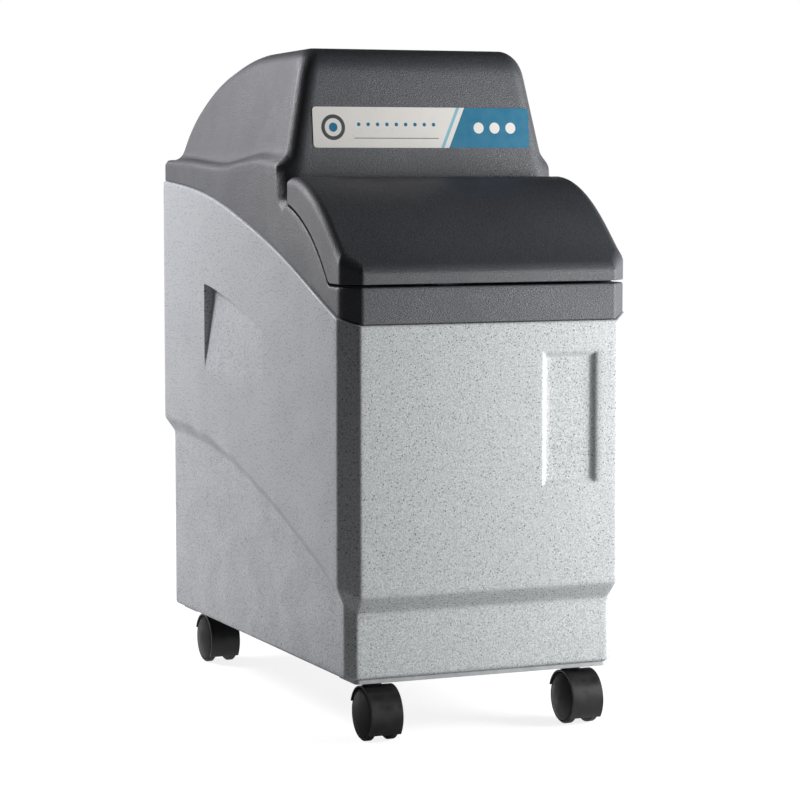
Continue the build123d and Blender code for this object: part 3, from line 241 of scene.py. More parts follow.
# Surface tools. Each surface is a grid of rows and columns, in mm.
def smoothCurve(places, heights, at):
    # natural cubic through the points: the second slopes solve one banded system, and are 0 at both ends
    x, z = np.asarray(places, float), np.asarray(heights, float)
    h = np.diff(x)
    bands = np.diag(np.r_[1.0, 2 * (h[:-1] + h[1:]), 1.0])
    inner = np.arange(1, len(x) - 1)
    bands[inner, inner - 1] = h[:-1]
    bands[inner, inner + 1] = h[1:]
    bend = np.linalg.solve(bands, np.r_[0, 6 * np.diff(np.diff(z) / h), 0])
    at = np.clip(at, x[0], x[-1])
    k = np.clip(np.searchsorted(x, at) - 1, 0, len(h) - 1)
    left, right = x[k + 1] - at, at - x[k]
    return ((bend[k] * left**3 + bend[k + 1] * right**3) / (6 * h[k])
            + (z[k] / h[k] - bend[k] * h[k] / 6) * left + (z[k + 1] / h[k] - bend[k + 1] * h[k] / 6) * right)


def filletedLine(corners, radii, steps=12):
    # each corner becomes an arc that touches both its runs: centre on the bisector, radius over the half angle's sine
    corners = np.asarray(corners, float)
    pieces = [corners[:1]]
    for before, corner, after, radius in zip(corners[:-2], corners[1:-1], corners[2:], radii):
        a = (before - corner) / np.linalg.norm(before - corner)
        b = (after - corner) / np.linalg.norm(after - corner)
        half = np.arccos(np.clip(a @ b, -1, 1)) / 2
        middle = corner + (a + b) / np.linalg.norm(a + b) * radius / np.sin(half)
        u, w = (corner + a * radius / np.tan(half) - middle), (corner + b * radius / np.tan(half) - middle)
        sweep = np.pi - 2 * half
        s = np.linspace(0, 1, steps)[:, None]
        pieces.append(middle + (np.sin((1 - s) * sweep) * u + np.sin(s * sweep) * w) / np.sin(sweep))
    return np.vstack(pieces + [corners[-1:]])


def softClamp(t, ease):
    # 0 below 0 and 1 above 1, with both bends eased by a hyperbola
    return 0.5 * (1 + np.sqrt(t**2 + ease**2) - np.sqrt((t - 1) ** 2 + ease**2))


def roundMeet(a, b, radius):
    # where two half spaces meet: their depths from the rounding's axis, added as the sides of a right triangle
    u, v = np.maximum(a + radius, 0), np.maximum(b + radius, 0)
    return np.sqrt(u**2 + v**2) - radius + np.minimum(np.maximum(a, b) + radius, 0)


def roundJoin(a, b, width):
    # where two solids join: the smaller distance, less a parabola where both are near
    near = np.maximum(width - np.abs(a - b), 0) / width
    return np.minimum(a, b) - near**2 * width / 4


heightSpan = (380.0, 680.0)


def topHeights(outside, x, y):
    # the height where outside(x, y, z) turns positive, found by halving the span that holds it
    below, above = (np.full(x.shape, height) for height in heightSpan)
    for _ in range(34):
        middle = (below + above) / 2
        inside = outside(x, y, middle) <= 1e-7
        below, above = np.where(inside, middle, below), np.where(inside, above, middle)
    return below


def lines(*spans, last=None):
    # places of grid lines: even steps in each span of (start, end, number of steps); None stands for the last place
    runs = [np.linspace(start, last if end is None else end, count + 1) for start, end, count in spans]
    return np.unique(np.round(np.concatenate(runs), 4))


def bothSides(places):
    return np.unique(np.r_[-np.asarray(places), places])


def planLoop(half, front, rear, chamfer, rounding, frontShares, sideShares, steps=5):
    # rectangle with cut corners seen from above, anticlockwise; every corner is an arc, every run is shared out
    c = chamfer
    corners = np.array([(-half + c, front), (half - c, front), (half, front + c), (half, rear - c),
                        (half - c, rear), (-half + c, rear), (-half, rear - c), (-half, front + c)], float)
    around = np.vstack([corners[-1], corners, corners[0]])
    shares = [frontShares, [0.33, 0.67], sideShares, [0.33, 0.67], 1 - frontShares[::-1], [0.33, 0.67],
              1 - sideShares[::-1], [0.33, 0.67]]
    arcs = [filletedLine(around[i:i + 3], [rounding], steps)[1:-1] for i in range(8)]
    pieces = []
    for i in range(8):
        start, end = arcs[i][-1], arcs[(i + 1) % 8][0]
        pieces += [arcs[i], start + (end - start) * np.asarray(shares[i])[:, None]]
    return np.vstack(pieces)


def gridPiece(name, grids):
    # one mesh from several grids: (points, kept faces or None, columns closed or not)
    vertices, faces, start = [], [], 0
    for points, kept, closed in grids:
        rows, columns = points.shape[:2]
        index = start + np.arange(rows * columns).reshape(rows, columns)
        if closed:
            index = np.hstack([index, index[:, :1]])
        quads = np.stack([index[:-1, :-1], index[:-1, 1:], index[1:, 1:], index[1:, :-1]], axis=-1)
        faces.append(quads.reshape(-1, 4) if kept is None else quads[kept])
        vertices.append(points.reshape(-1, 3))
        start += rows * columns
    places = (np.vstack(vertices) + (0, frontY, 0)) * mm
    mesh = bpy.data.meshes.new(name)
    mesh.from_pydata(places, [], np.vstack(faces))
    work = bmesh.new()
    work.from_mesh(mesh)
    bmesh.ops.remove_doubles(work, verts=work.verts, dist=1e-6)
    bmesh.ops.delete(work, geom=[v for v in work.verts if not v.link_faces], context="VERTS")
    work.to_mesh(mesh)
    work.free()
    mesh.shade_smooth()
    mesh.set_sharp_from_angle(angle=sharpAngle)
    piece = bpy.data.objects.new(name, mesh)
    scene.collection.objects.link(piece)
    return piece


def placePiece(piece, body, slot, *nodes):
    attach(piece, body)
    if nodes:
        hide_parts(*nodes)
    piece.data.materials.append(finishes[slot])
    return piece


# A finish for every slot
graniteLook = {"base": (0.545, 0.575, 0.585), "cloud": (0.61, 0.635, 0.645), "fleck": (0.1, 0.11, 0.12),
               "palest": (0.80, 0.82, 0.83), "dim": (0.36, 0.385, 0.40), "cloudScale": 45, "fineScale": 800,
               "fleckScale": 370, "fleckEdge": (0.31, 0.45), "share": 0.36, "wobbleScale": 1300, "wobble": 0.3,
               "glossScale": 30, "roughness": 0.42, "grainScale": 560, "depth": 0.0003, "strength": 0.35}


def graniteFinish(look):
    # round dark flecks in some of the cells, over a fine mottle of paler and dimmer grains
    f = Finish("speckled shell plastic", look["roughness"], specular=0.32)
    ground = f.blend(f.noise(look["cloudScale"], 4), look["base"], look["cloud"])
    fine = f.noise(look["fineScale"], 2, 0.7)
    tone = f.blend(f.band(fine, 0.5, 0.64, 0, 0.8), ground, look["palest"])
    tone = f.blend(f.band(fine, 0.34, 0.5, 0.9, 0), tone, look["dim"])
    colourOf = f.cells(look["fleckScale"], output="Color")
    wobble = f.math("MULTIPLY", f.noise(look["wobbleScale"], 2), look["wobble"])
    size = f.math("ADD", f.cells(look["fleckScale"]), wobble)
    spot = f.band(size, *look["fleckEdge"], 1, 0)
    dark = f.math("MULTIPLY", f.band(colourOf, look["share"], look["share"] + 0.2), spot)
    f.colour(f.blend(dark, tone, look["fleck"]))
    f.gloss(look["glossScale"], look["roughness"], 0.05, 0.08)
    f.relief(f.noise(look["grainScale"], 3, 0.6), look["depth"], look["strength"])
    return f.material


coverFinishLook = {"base": (0.05, 0.053, 0.062), "high": (0.093, 0.097, 0.11), "grainScale": 760,
                   "stretch": (1.0, 0.8, 2.1), "turn": (0.25, 0.8, 0.35), "roughness": 0.42, "glossScale": 18,
                   "depth": 0.0007, "strength": 0.55}


def coverFinish(look):
    # leather-like grain: fine bumps and creases, stretched aslant
    f = Finish("grained cover plastic", look["roughness"], specular=0.45)
    slanted = f.mapped(scale=look["stretch"], turn=look["turn"])
    grain = f.noise(look["grainScale"], 3.0, 0.6, 0.8, at=slanted)
    creases = f.cells(look["grainScale"] * 0.9, "SMOOTH_F1", at=slanted)
    height = f.math("ADD", grain, f.math("MULTIPLY", creases, 0.6))
    f.colour(f.blend(f.band(grain, 0.36, 0.64), look["base"], look["high"]))
    f.gloss(look["glossScale"], look["roughness"], 0.06, 0.06)
    f.relief(height, look["depth"], look["strength"])
    return f.material


mouldedLook = {"specular": 0.45, "cloud": 45, "glossScale": 90, "grain": 1400, "depth": 0.0001, "strength": 0.4,
               "edge": 0.0008}


def mouldedFinish(name, changes):
    # fine grain, slow changes of tone and gloss, edges softened
    look = mouldedLook | changes
    f = Finish(name, look["roughness"], specular=look["specular"])
    worn = tuple(min(1.0, c * 1.18 + 0.012) for c in look["base"])
    f.colour(f.blend(f.band(f.noise(look["cloud"], 4), 0.3, 0.75), look["base"], worn))
    f.gloss(look["glossScale"], look["roughness"], 0.06, 0.08)
    f.relief(f.noise(look["grain"], 2), look["depth"], look["strength"], look["edge"])
    return f.material


def metalFinish(name, look):
    # fine scratches along one axis over a slow stain
    f = Finish(name, look["roughness"], metallic=1.0)
    scratches = f.noise(900, 3, 0.6, at=f.mapped(scale=look["stretch"]))
    f.colour(f.blend(f.band(f.noise(70, 4), 0.35, 0.7), look["base"], look["stain"]))
    f.rough(f.band(scratches, 0.3, 0.7, look["roughness"] - 0.08, look["roughness"] + 0.12))
    f.relief(scratches, 0.00006, 0.35, 0.0005)
    return f.material


def paintedFinish(name, look):
    f = Finish(name, look["roughness"])
    f.colour(f.blend(f.band(f.noise(120, 4), 0.35, 0.7), look["base"], look["stain"]))
    f.gloss(200, look["roughness"], 0.05, 0.1)
    f.relief(f.noise(1100, 3), 0.00012, 0.4, 0.0008)
    return f.material


def woundFinish(name, look):
    # crossing bands of fibre round the tank, seen through clear resin
    f = Finish(name, look["roughness"])
    waves = []
    for turn in (0.5, -0.5):
        wave = f.nodes.new("ShaderNodeTexWave")
        wave.inputs["Scale"].default_value = 26
        wave.inputs["Distortion"].default_value = 1.2
        f.links.new(f.mapped(turn=(0, 0.9 * turn / abs(turn), turn)), wave.inputs["Vector"])
        waves.append(wave.outputs["Fac"])
    weave = f.math("ADD", waves[0], waves[1])
    f.colour(f.blend(f.band(weave, 0.4, 1.6), look["base"], look["fibre"]))
    f.relief(f.math("ADD", weave, f.noise(700, 2)), 0.0003, 0.5)
    f.shader.inputs["Coat Weight"].default_value = 0.5
    f.shader.inputs["Coat Roughness"].default_value = 0.15
    return f.material


def beadFinish(name, look):
    # a bed of round beads: each cell is one bead in the base colour at its middle, darkened towards the gap colour at
    # its edge as painted shade where beads meet
    f = Finish(name, look["roughness"])
    bead = f.cells(look["beadScale"])
    shade = f.blend(f.band(bead, 0.0, 0.6), look["base"], look["gap"])
    f.colour(f.blend(f.band(f.noise(160, 3), 0.4, 0.7), shade, look["base"]))
    f.relief(f.math("MULTIPLY", bead, -1.0), 0.0008, 0.8)
    return f.material


def glassFinish(name, look):
    f = Finish(name, look["roughness"])
    f.shader.inputs["Transmission Weight"].default_value = 1.0
    f.shader.inputs["IOR"].default_value = 1.49
    f.colour(f.blend(f.noise(40, 2), look["base"], (0.95, 0.97, 0.96)))
    f.relief(f.noise(600, 2), 0.00004, 0.2)
    return f.material


def boardFinish(name, look):
    # copper tracks under green lacquer: narrow bands of a squared pattern, and a few round pads
    f = Finish(name, look["roughness"], specular=0.6)
    brick = f.nodes.new("ShaderNodeTexBrick")
    brick.inputs["Scale"].default_value = 130
    brick.inputs["Mortar Size"].default_value = 0.06
    f.links.new(f.mapped(turn=(radians(90), 0, 0)), brick.inputs["Vector"])
    tracks = brick.outputs["Fac"]
    pads = f.band(f.cells(150), 0.10, 0.13, 1, 0)
    green = f.blend(tracks, look["base"], look["track"])
    f.colour(f.blend(pads, green, look["pad"]))
    f.relief(tracks, 0.0001, 0.5)
    return f.material


plasticLooks = {
    "black_plastic": {"base": (0.022, 0.022, 0.024), "roughness": 0.42},
    "white_plastic": {"base": (0.72, 0.72, 0.70), "roughness": 0.45},
    "valve_plastic": {"base": (0.035, 0.036, 0.040), "roughness": 0.38, "cloud": 120},
    "piston_plastic": {"base": (0.66, 0.66, 0.63), "roughness": 0.25, "strength": 0.15},
    "gear_plastic": {"base": (0.70, 0.67, 0.56), "roughness": 0.40},
    "seal_rubber": {"base": (0.018, 0.018, 0.019), "roughness": 0.68},
    "button_rubber": {"base": (0.20, 0.21, 0.23), "roughness": 0.60},
    "handle_plastic": {"base": (0.42, 0.025, 0.020), "roughness": 0.30},
    "line_plastic": {"base": (0.70, 0.70, 0.67), "roughness": 0.28, "strength": 0.15},
    "caster_black": {"base": (0.010, 0.010, 0.011), "roughness": 0.36, "edge": 0.0012, "specular": 0.28},
    "caster_wheel": {"base": (0.007, 0.007, 0.008), "roughness": 0.5, "edge": 0.0010, "specular": 0.16},
}
otherLooks = {
    "steel": (metalFinish, {"base": (0.62, 0.63, 0.64), "stain": (0.50, 0.51, 0.52), "roughness": 0.30,
                            "stretch": (1, 1, 0.05)}),
    "motor_can": (metalFinish, {"base": (0.56, 0.56, 0.56), "stain": (0.45, 0.45, 0.46), "roughness": 0.34,
                                "stretch": (1, 0.05, 1)}),
    "bar_paint": (paintedFinish, {"base": (0.42, 0.44, 0.46), "stain": (0.50, 0.52, 0.53), "roughness": 0.42}),
    "tank_wrap": (woundFinish, {"base": (0.030, 0.036, 0.050), "fibre": (0.085, 0.095, 0.12), "roughness": 0.35}),
    # gap: the dark colour painted at each bead's edge as shade between beads
    "resin_beads": (beadFinish, {"base": (0.55, 0.27, 0.06), "gap": (0.16, 0.07, 0.015), "roughness": 0.4,
                                 "beadScale": 900}),
    "window_clear": (glassFinish, {"base": (0.88, 0.92, 0.90), "roughness": 0.05}),
    "board_green": (boardFinish, {"base": (0.015, 0.12, 0.045), "track": (0.03, 0.22, 0.08),
                                  "pad": (0.55, 0.42, 0.16), "roughness": 0.3}),
}
finishes = {slot: mouldedFinish(slot, look) for slot, look in plasticLooks.items()}
finishes["cabinet_plastic"] = graniteFinish(graniteLook)
finishes["cover_plastic"] = coverFinish(coverFinishLook)
finishes |= {slot: make(slot, look) for slot, (make, look) in otherLooks.items()}

labelLook = {"width": 232.6, "height": 40.0, "x": 3.1, "z": 577.0, "thick": 0.6, "gap": 0.05, "corner": 3.3,
             "film": (0.80, 0.78, 0.75), "teal": (0.0, 0.15, 0.27), "pale": (0.24, 0.50, 0.60),
             "slate": (0.045, 0.048, 0.055), "block": 0.040, "slant": 0.45, "stripe": 0.0035,
             "discs": (0.064, 0.0815, 0.099), "discR": 0.0055, "ring": (-0.092, 0.0125, 0.0088, 0.0045),
             "dots": (-0.070, 0.020, 0.010, 0.003), "dotR": 0.0019, "rule": (-0.0105, 0.0007)}


def labelFinish(look):
    # printed film: a slanted block with three discs, a ring with a dot, and a row of dots over a thin rule
    f = Finish("label_film", 0.32)
    x, z = f.axis("X"), f.math("SUBTRACT", f.axis("Z"), look["z"] * mm)

    def below(value, limit):
        return f.band(value, limit - 0.0001, limit + 0.0001, 1, 0)

    def distance(across, up):
        return f.math("SQRT", f.math("ADD", f.math("MULTIPLY", across, across), f.math("MULTIPLY", up, up)))

    def within(value, middle, reach):
        return below(f.math("ABSOLUTE", f.math("SUBTRACT", value, middle)), reach)

    tone = f.blend(f.noise(60, 3), look["film"], tuple(c * 0.95 for c in look["film"]))
    past = f.math("SUBTRACT", f.math("MULTIPLY", z, look["slant"]), f.math("SUBTRACT", x, look["block"]))
    tone = f.blend(below(past, 0.0), tone, look["teal"])
    tone = f.blend(within(past, 2 * look["stripe"], look["stripe"] / 2), tone, look["pale"])
    for place in look["discs"]:
        tone = f.blend(below(distance(f.math("SUBTRACT", x, place), z), look["discR"]), tone, look["film"])
    place, outer, inner, dot = look["ring"]
    away = distance(f.math("SUBTRACT", x, place), z)
    tone = f.blend(within(away, (outer + inner) / 2, (outer - inner) / 2), tone, look["slate"])
    tone = f.blend(below(away, dot), tone, look["teal"])
    start, end, gap, rise = look["dots"]
    inRow = within(x, (start + end) / 2, (end - start) / 2)
    share = f.math("FRACT", f.math("DIVIDE", f.math("SUBTRACT", x, start), gap))
    spot = distance(f.math("MULTIPLY", f.math("SUBTRACT", share, 0.5), gap), f.math("SUBTRACT", z, rise))
    tone = f.blend(f.math("MULTIPLY", inRow, below(spot, look["dotR"])), tone, look["teal"])
    height, thick = look["rule"]
    tone = f.blend(f.math("MULTIPLY", inRow, within(z, height, thick / 2)), tone, look["slate"])
    f.colour(tone)
    f.rough(f.band(f.noise(90, 3), 0.3, 0.7, 0.27, 0.38))
    f.relief(f.noise(900, 2), 0.00003, 0.2)
    return f.material


finishes["label_film"] = labelFinish(labelLook)
for row in frame["record"]["subparts"]:
    node = frame["nodes"][row["node"]]
    node.data.materials.clear()
    node.data.materials.append(finishes[row["material_slot"]])
print("finishes made:", len(finishes))


# Cabinet skin: one moulding, outside and inside, worked out row by row
cabinetLook = {
    "half": 150.0, "depth": 540.0, "floor": 60.0, "wall": 4.0, "upperCut": 17.0, "lowerCut": 9.4, "corner": 5.0,
    "stepSide": 9.5, "stepFront": 14.4, "stepRear": 13.3,
    "ledgeLow": ((0, 123.5), (0.075, 0.155), (0.2, 0.36), (0.35, 0.57), (0.51, 0.765), (0.68, 0.92), (0.85, 0.99),
                 (1, 251.0)),
    "ledgeRise": (16.0, 14.5), "seamEnds": (393.0, 524.0),
    "seamShares": ((0.1, 0.15), (0.26, 0.4), (0.47, 0.665), (0.69, 0.875)),
    "footRound": 4.0, "rimRound": 2.4, "ledgeEase": 0.12,
    "panel": (54.0, 111.0, 237.0, 364.0), "panelBevel": 5.0, "panelDeep": 4.0,
    "pocket": (217.0, 388.0, 325.0), "pocketTop": (375.0, 400.5, 416.0), "pocketSlope": 12.0 / 96.0,
    # places of the mesh's lines: along front and side, across the panel's bevel and the pocket's edge
    "frontLines": (-130, 130, 52), "sideLines": (25, 515, 98), "bevelLines": (-1.2, 0, 0.7, 2.5, 4.3, 5.0, 6.2),
    "edgeLines": (-2.2, -0.7, -0.25, 0.25, 0.7, 2.2), "belowLedge": 0.7, "aboveLedge": 0.8,
    # rows of the mesh: outside from the floor up to the rim, then inside on the way back down
    "outsideRows": {"floor": 7, "foot": 6, "lower": 10, "ledge": 28, "middle": 30, "upper": 16, "rim": 5},
    "insideRows": {"upper": 12, "middle": 14, "ledge": 10, "lower": 6, "floor": 7},
}


def shareCurve(shares, low, high):
    # run and rise shares from front to rear, as places and heights
    return ([0, *[a for a, _ in shares], 1], [low, *[low + (high - low) * b for _, b in shares], high])


def ledgeHeights(y, look):
    t = np.clip(y / look["depth"], 0, 1)
    low, high = look["ledgeLow"][0][1], look["ledgeLow"][-1][1]
    bottom = smoothCurve(*shareCurve(look["ledgeLow"][1:-1], low, high), t)
    return bottom, bottom + look["ledgeRise"][0] + (look["ledgeRise"][1] - look["ledgeRise"][0]) * t


def seamHeights(y):
    t = np.clip(y / cabinetLook["depth"], 0, 1)
    return smoothCurve(*shareCurve(cabinetLook["seamShares"], *cabinetLook["seamEnds"]), t)


def pocketTop(y, look):
    # a parabola through three points of the pocket's top edge, carried on straight past its ends
    start, end, _ = look["pocket"]
    a, b, c = look["pocketTop"]
    inside = np.clip(y, start, end)
    s = (inside - start) / (end - start)
    bow = b - (a + c) / 2
    slope = np.where(y < start, (c - a + 4 * bow), (c - a - 4 * bow)) / (end - start)
    return a + (c - a) * s + 4 * bow * s * (1 - s) + (y - inside) * slope


def stepAt(distance, ease=0.6):
    s = np.clip(distance / ease * 0.5 + 0.5, 0, 1)
    return s * s * (3 - 2 * s)


def cabinetSkin(look):
    wall, depth, cut, low = look["wall"], look["depth"], look["upperCut"], look["lowerCut"]
    bevel, edge = np.array(look["bevelLines"]), np.array(look["edgeLines"])
    outside, inside = look["outsideRows"], look["insideRows"]
    x0, x1, z0, z1 = look["panel"]
    frontX = np.unique(np.r_[lines(look["frontLines"]), x0 + bevel, x1 - bevel])
    sideY = np.unique(np.r_[lines(look["sideLines"]), look["pocket"][0] + edge, look["pocket"][1] + edge])
    inner = look["half"] - cut
    frontShares = (frontX + inner) / (2 * inner)
    sideShares = (sideY - cut) / (depth - 2 * cut)
    thin = wall * (2 - np.sqrt(2))

    def loops(inset):
        # the upper and the lower outline, set in by the same width all round
        steps = look["stepSide"], look["stepFront"], look["stepRear"], low
        return [planLoop(look["half"] - side - inset, front + inset, depth - rear - inset,
                         chamfer - inset / wall * thin, look["corner"], frontShares, sideShares)
                for side, front, rear, chamfer in ((0, 0, 0, cut), steps)]

    outer, drawnIn = loops(0), loops(wall)
    x, y = outer[0].T
    ledgeLow, ledgeTop = ledgeHeights(y, look)
    seam, pocket = seamHeights(y), pocketTop(y, look)
    rise = ledgeTop - ledgeLow

    def row(height, inward=0.0, hollow=True, grow=0.0):
        # a level of the wall: from the lower to the upper outline over the ledge, then drawn inward
        share = softClamp((height - ledgeLow) / rise, look["ledgeEase"])[:, None]
        full, drawn = (lower + (upper - lower) * share for upper, lower in (outer, drawnIn))
        level = full + (drawn - full) * inward / wall
        points = np.column_stack([level, np.broadcast_to(height, x.shape)])
        if hollow:
            start, end, foot = look["pocket"]
            onSide = np.abs(np.abs(x) - look["half"]) < 0.01
            inY = stepAt(y - start + grow) * stepAt(end + grow - y)
            ramp = np.maximum(height - foot, 0) * look["pocketSlope"]
            points[:, 0] -= np.sign(x) * onSide * ramp * inY * stepAt(pocket + grow - height)
            onFront = np.abs(y) < 0.01
            near = np.minimum(np.minimum(x - x0, x1 - x), np.minimum(height - z0, z1 - height)) + grow
            points[:, 1] += onFront * look["panelDeep"] * softClamp(near / look["panelBevel"], 0.12)
        return points

    def fan(height, inward, shares):
        # a level drawn together to its middle
        flat = row(np.full(x.shape, height), inward, False)
        middle = np.array([0, depth / 2])
        return [np.column_stack([middle + (flat[:, :2] - middle) * share, flat[:, 2]]) for share in shares]

    def between(start, end, shares, *how):
        return [row(start + (end - start) * share, *how) for share in shares]

    def panelled(start, end, count):
        # even shares, and those of the panel's own lines
        panelZ = np.r_[z0 + bevel, z1 - bevel]
        low, high = start[frontAt], end[frontAt]
        own = (panelZ[(panelZ > low) & (panelZ < high)] - low) / (high - low)
        shares = np.unique(np.round(np.r_[np.linspace(0, 1, count), own], 4))[1:]
        return between(start, end, shares)

    frontAt = np.argmin(np.abs(x) + np.abs(y))
    foot, footRound, rim = look["floor"] + look["footRound"], look["footRound"], look["rimRound"]
    ledgeStart, ledgeEnd = ledgeLow - look["belowLedge"] * rise, ledgeTop + look["aboveLedge"] * rise
    below, above = pocket + edge[0], pocket + edge[-1]
    rows = fan(look["floor"], footRound, np.linspace(0, 1, outside["floor"])[:-1])
    for angle in np.linspace(0, np.pi / 2, outside["foot"]):
        rows.append(row(look["floor"] + footRound * (1 - np.cos(angle)), footRound * (1 - np.sin(angle)), False))
    rows += between(foot, ledgeStart, np.linspace(0, 1, outside["lower"])[1:-1])
    rows += between(ledgeStart, ledgeEnd, np.linspace(0, 1, outside["ledge"]))
    rows += panelled(ledgeEnd, below, outside["middle"])
    rows += [row(pocket + d) for d in edge[1:]]
    rows += panelled(above, seam - rim, outside["upper"])
    for angle in np.linspace(0, np.pi / 2, outside["rim"])[1:]:
        rows.append(row(seam - rim + rim * np.sin(angle), rim * (1 - np.cos(angle))))
    rows += between(seam, above, np.linspace(0, 1, inside["upper"]), wall, True, wall)
    rows += between(below, ledgeEnd, np.linspace(0, 1, inside["middle"]), wall, True, wall)
    rows += between(ledgeEnd, ledgeStart, np.linspace(0, 1, inside["ledge"])[1:], wall, False)
    rows += between(ledgeStart, look["floor"] + wall, np.linspace(0, 1, inside["lower"])[1:], wall, False)
    rows += fan(look["floor"] + wall, wall, np.linspace(1, 0, inside["floor"])[1:])
    return np.stack(rows)


cabinetPiece = placePiece(gridPiece("cabinet_shell", [(cabinetSkin(cabinetLook), None, True)]),
                          "base", "cabinet_plastic", "cabinet")
print("cabinet made:", len(cabinetPiece.data.polygons), "faces")

# Cover skin: the height of skirt and hood over the plan, and walls that drop from its border to the seam
coverLook = {
    "wall": 3.0, "seamGap": 0.4, "edges": ((0, 1.6), (150, 1.6), (162, 10), (200, 10), (300, 5.5), (540, 5.5)),
    "flare": 11.0, "hoodRound": ((150, 16), (300, 16), (420, 22), (540, 26)),
    "plan": (147.9, 0.8, 538.4, 17.0), "join": 150.0,
    "skirt": ((-60, 428), (43, 428), (87.46, 482.75), (170, 507), (174.2, 546), (236, 549),
              (345.6, 538), (442.8, 544), (600, 547)),
    "skirtRounds": (9, 190, 8, 12, 150, 300, 300),
    "hood": ((141.4, 300), (177.9, 655.1), (345, 651.5), (448, 627), (504, 582), (519, 532), (522, 300)),
    "hoodRounds": (28, 400, 200, 100, 50),
    "halfFoot": 141.5, "sideLean": 25.5 / 126.5, "foot": 530.0,
    "opening": (124.0, 32.0, 132.0), "cutout": (62.0, 574.0, 490.0),
    "spigot": (4.3, 6.8, 12.0), "hinge": (144.5, 512.0), "hingeX": 96.0, "barrel": 16.0, "ear": 4.0, "gap": 0.6,
    "hingeR": 4.5, "pinR": 2.0, "pinGap": 0.05, "earFoot": 497.0,
    # places of the mesh's lines over the deck: half the width, and from the front to where the hood's rings begin
    "acrossLines": ((0, 60, 8), (62, 100, 6), (100, 106, 2), (106, 146, 26), (146, None, 5)),
    "edgeLines": ((0, 1.6, 4), (1.6, 30, 8)), "deckLines": ((32, 55, 16), (55, 132, 14), (132, None, 6)),
    # columns stay straight up to the still half width; loops round the hood, each as half width, front, rear and the
    # radii of its front and rear corners, the number of rings from one to the next, and along a loop's side the
    # dense run, the whole run and the number of places in each part
    "loops": ((140.5, 162, 521, 13, 24), (114, 180, 476, 16, 30), (60, 222, 400, 18, 18), (0, 262, 372, 0, 0)),
    "still": 100.0, "ringCounts": (20, 32, 18, 10), "loopRun": (40, 372, 48, 52), "wallRows": 9,
}
skirtLine = filletedLine(coverLook["skirt"], coverLook["skirtRounds"])
hoodLine = filletedLine(coverLook["hood"], coverLook["hoodRounds"])
tableLook = {"y": (-30, 580), "z": (370, 690), "step": 0.6}


def distanceTable(line):
    # distance of every grid point from the nearest run of a side outline, positive above it
    y, z = np.meshgrid(*(np.arange(*tableLook[way], tableLook["step"]) for way in "yz"), indexing="ij")
    nearest = np.full(y.shape, np.inf)
    for start, end in zip(line[:-1], line[1:]):
        run = end - start
        share = np.clip(((y - start[0]) * run[0] + (z - start[1]) * run[1]) / (run @ run), 0, 1)
        nearest = np.minimum(nearest, (y - start[0] - share * run[0]) ** 2 + (z - start[1] - share * run[1]) ** 2)
    return np.sqrt(nearest) * np.where(z > np.interp(y, line[:, 0], line[:, 1]), 1, -1)


def overLine(table, y, z):
    # the table read between its four nearest grid points
    a, b = ((at - tableLook[way][0]) / tableLook["step"] for at, way in ((y, "y"), (z, "z")))
    i, j = np.floor(a).astype(int), np.floor(b).astype(int)
    a, b = a - i, b - j
    return ((1 - a) * ((1 - b) * table[i, j] + b * table[i, j + 1])
            + a * ((1 - b) * table[i + 1, j] + b * table[i + 1, j + 1]))


skirtTable, hoodTable = distanceTable(skirtLine), distanceTable(hoodLine)


def overPlan(x, y, plan, rearCut):
    # distance outside a rectangle with cut corners
    half, front, rear, cut = plan
    root = np.sqrt(2)
    near = (np.abs(x) - (y - front) - (half - cut)) / root
    far = (np.abs(x) + y - (half + rear - rearCut)) / root
    return np.maximum.reduce([np.abs(x) - half, front - y, y - rear, near, far])


def outsideCover(x, y, z):
    look = coverLook
    lean = look["sideLean"]
    side = (np.abs(x) - (look["halfFoot"] - (z - look["foot"]) * lean)) / np.sqrt(1 + lean**2)
    hood = roundMeet(overLine(hoodTable, y, z), side, np.interp(y, *np.transpose(look["hoodRound"])))
    both = roundJoin(overLine(skirtTable, y, z), hood, look["flare"])
    return roundMeet(both, overPlan(x, y, look["plan"], look["plan"][3]), np.interp(y, *np.transpose(look["edges"])))


cornerRound = 5.0


def planGrid(xs, ys, plan, rearCut, still):
    # rows of y, columns of x; past the still band, columns close in so that the last one is on the outline
    half, front, rear, cut = plan
    outline = filletedLine([(0, front), (half - cut, front), (half, front + cut), (half, rear - rearCut),
                            (half - rearCut, rear), (0, rear)], [cornerRound] * 4)[1:-1]
    wide = np.interp(ys, outline[:, 1], outline[:, 0])[:, None]
    x = np.broadcast_to(xs, (len(ys), len(xs)))
    over = np.clip(np.abs(x) - still, 0, None)
    x = np.where(over > 0, np.sign(x) * (still + over * (wide - still) / (half - still)), x)
    return x, np.broadcast_to(ys[:, None], x.shape)


def border(grid):
    # the grid's outline, once round, anticlockwise from its first corner
    return np.vstack([grid[0, :-1], grid[:-1, -1], grid[-1, :0:-1], grid[:0:-1, 0]])


def dropWall(edge, bottom, shares, ease=0.6):
    # rows from the border down to a lower line, the last one tucked in a little
    rows = [np.column_stack([edge[:, :2], edge[:, 2] + (bottom - edge[:, 2]) * share]) for share in shares]
    middle = np.array([0, edge[:, 1].mean()])
    tuck = rows[-1].copy()
    rows[-1][:, 2] += ease
    reach = np.abs(tuck[:, :2] - middle).max(axis=1, keepdims=True)
    tuck[:, :2] = middle + (tuck[:, :2] - middle) * (1 - ease / reach)
    return np.stack(rows + [tuck])


arcPlaces = np.linspace(0, 1, 9)[1:-1]    # inner places of a corner
backCount = 10                            # places in each third of a loop's rear side


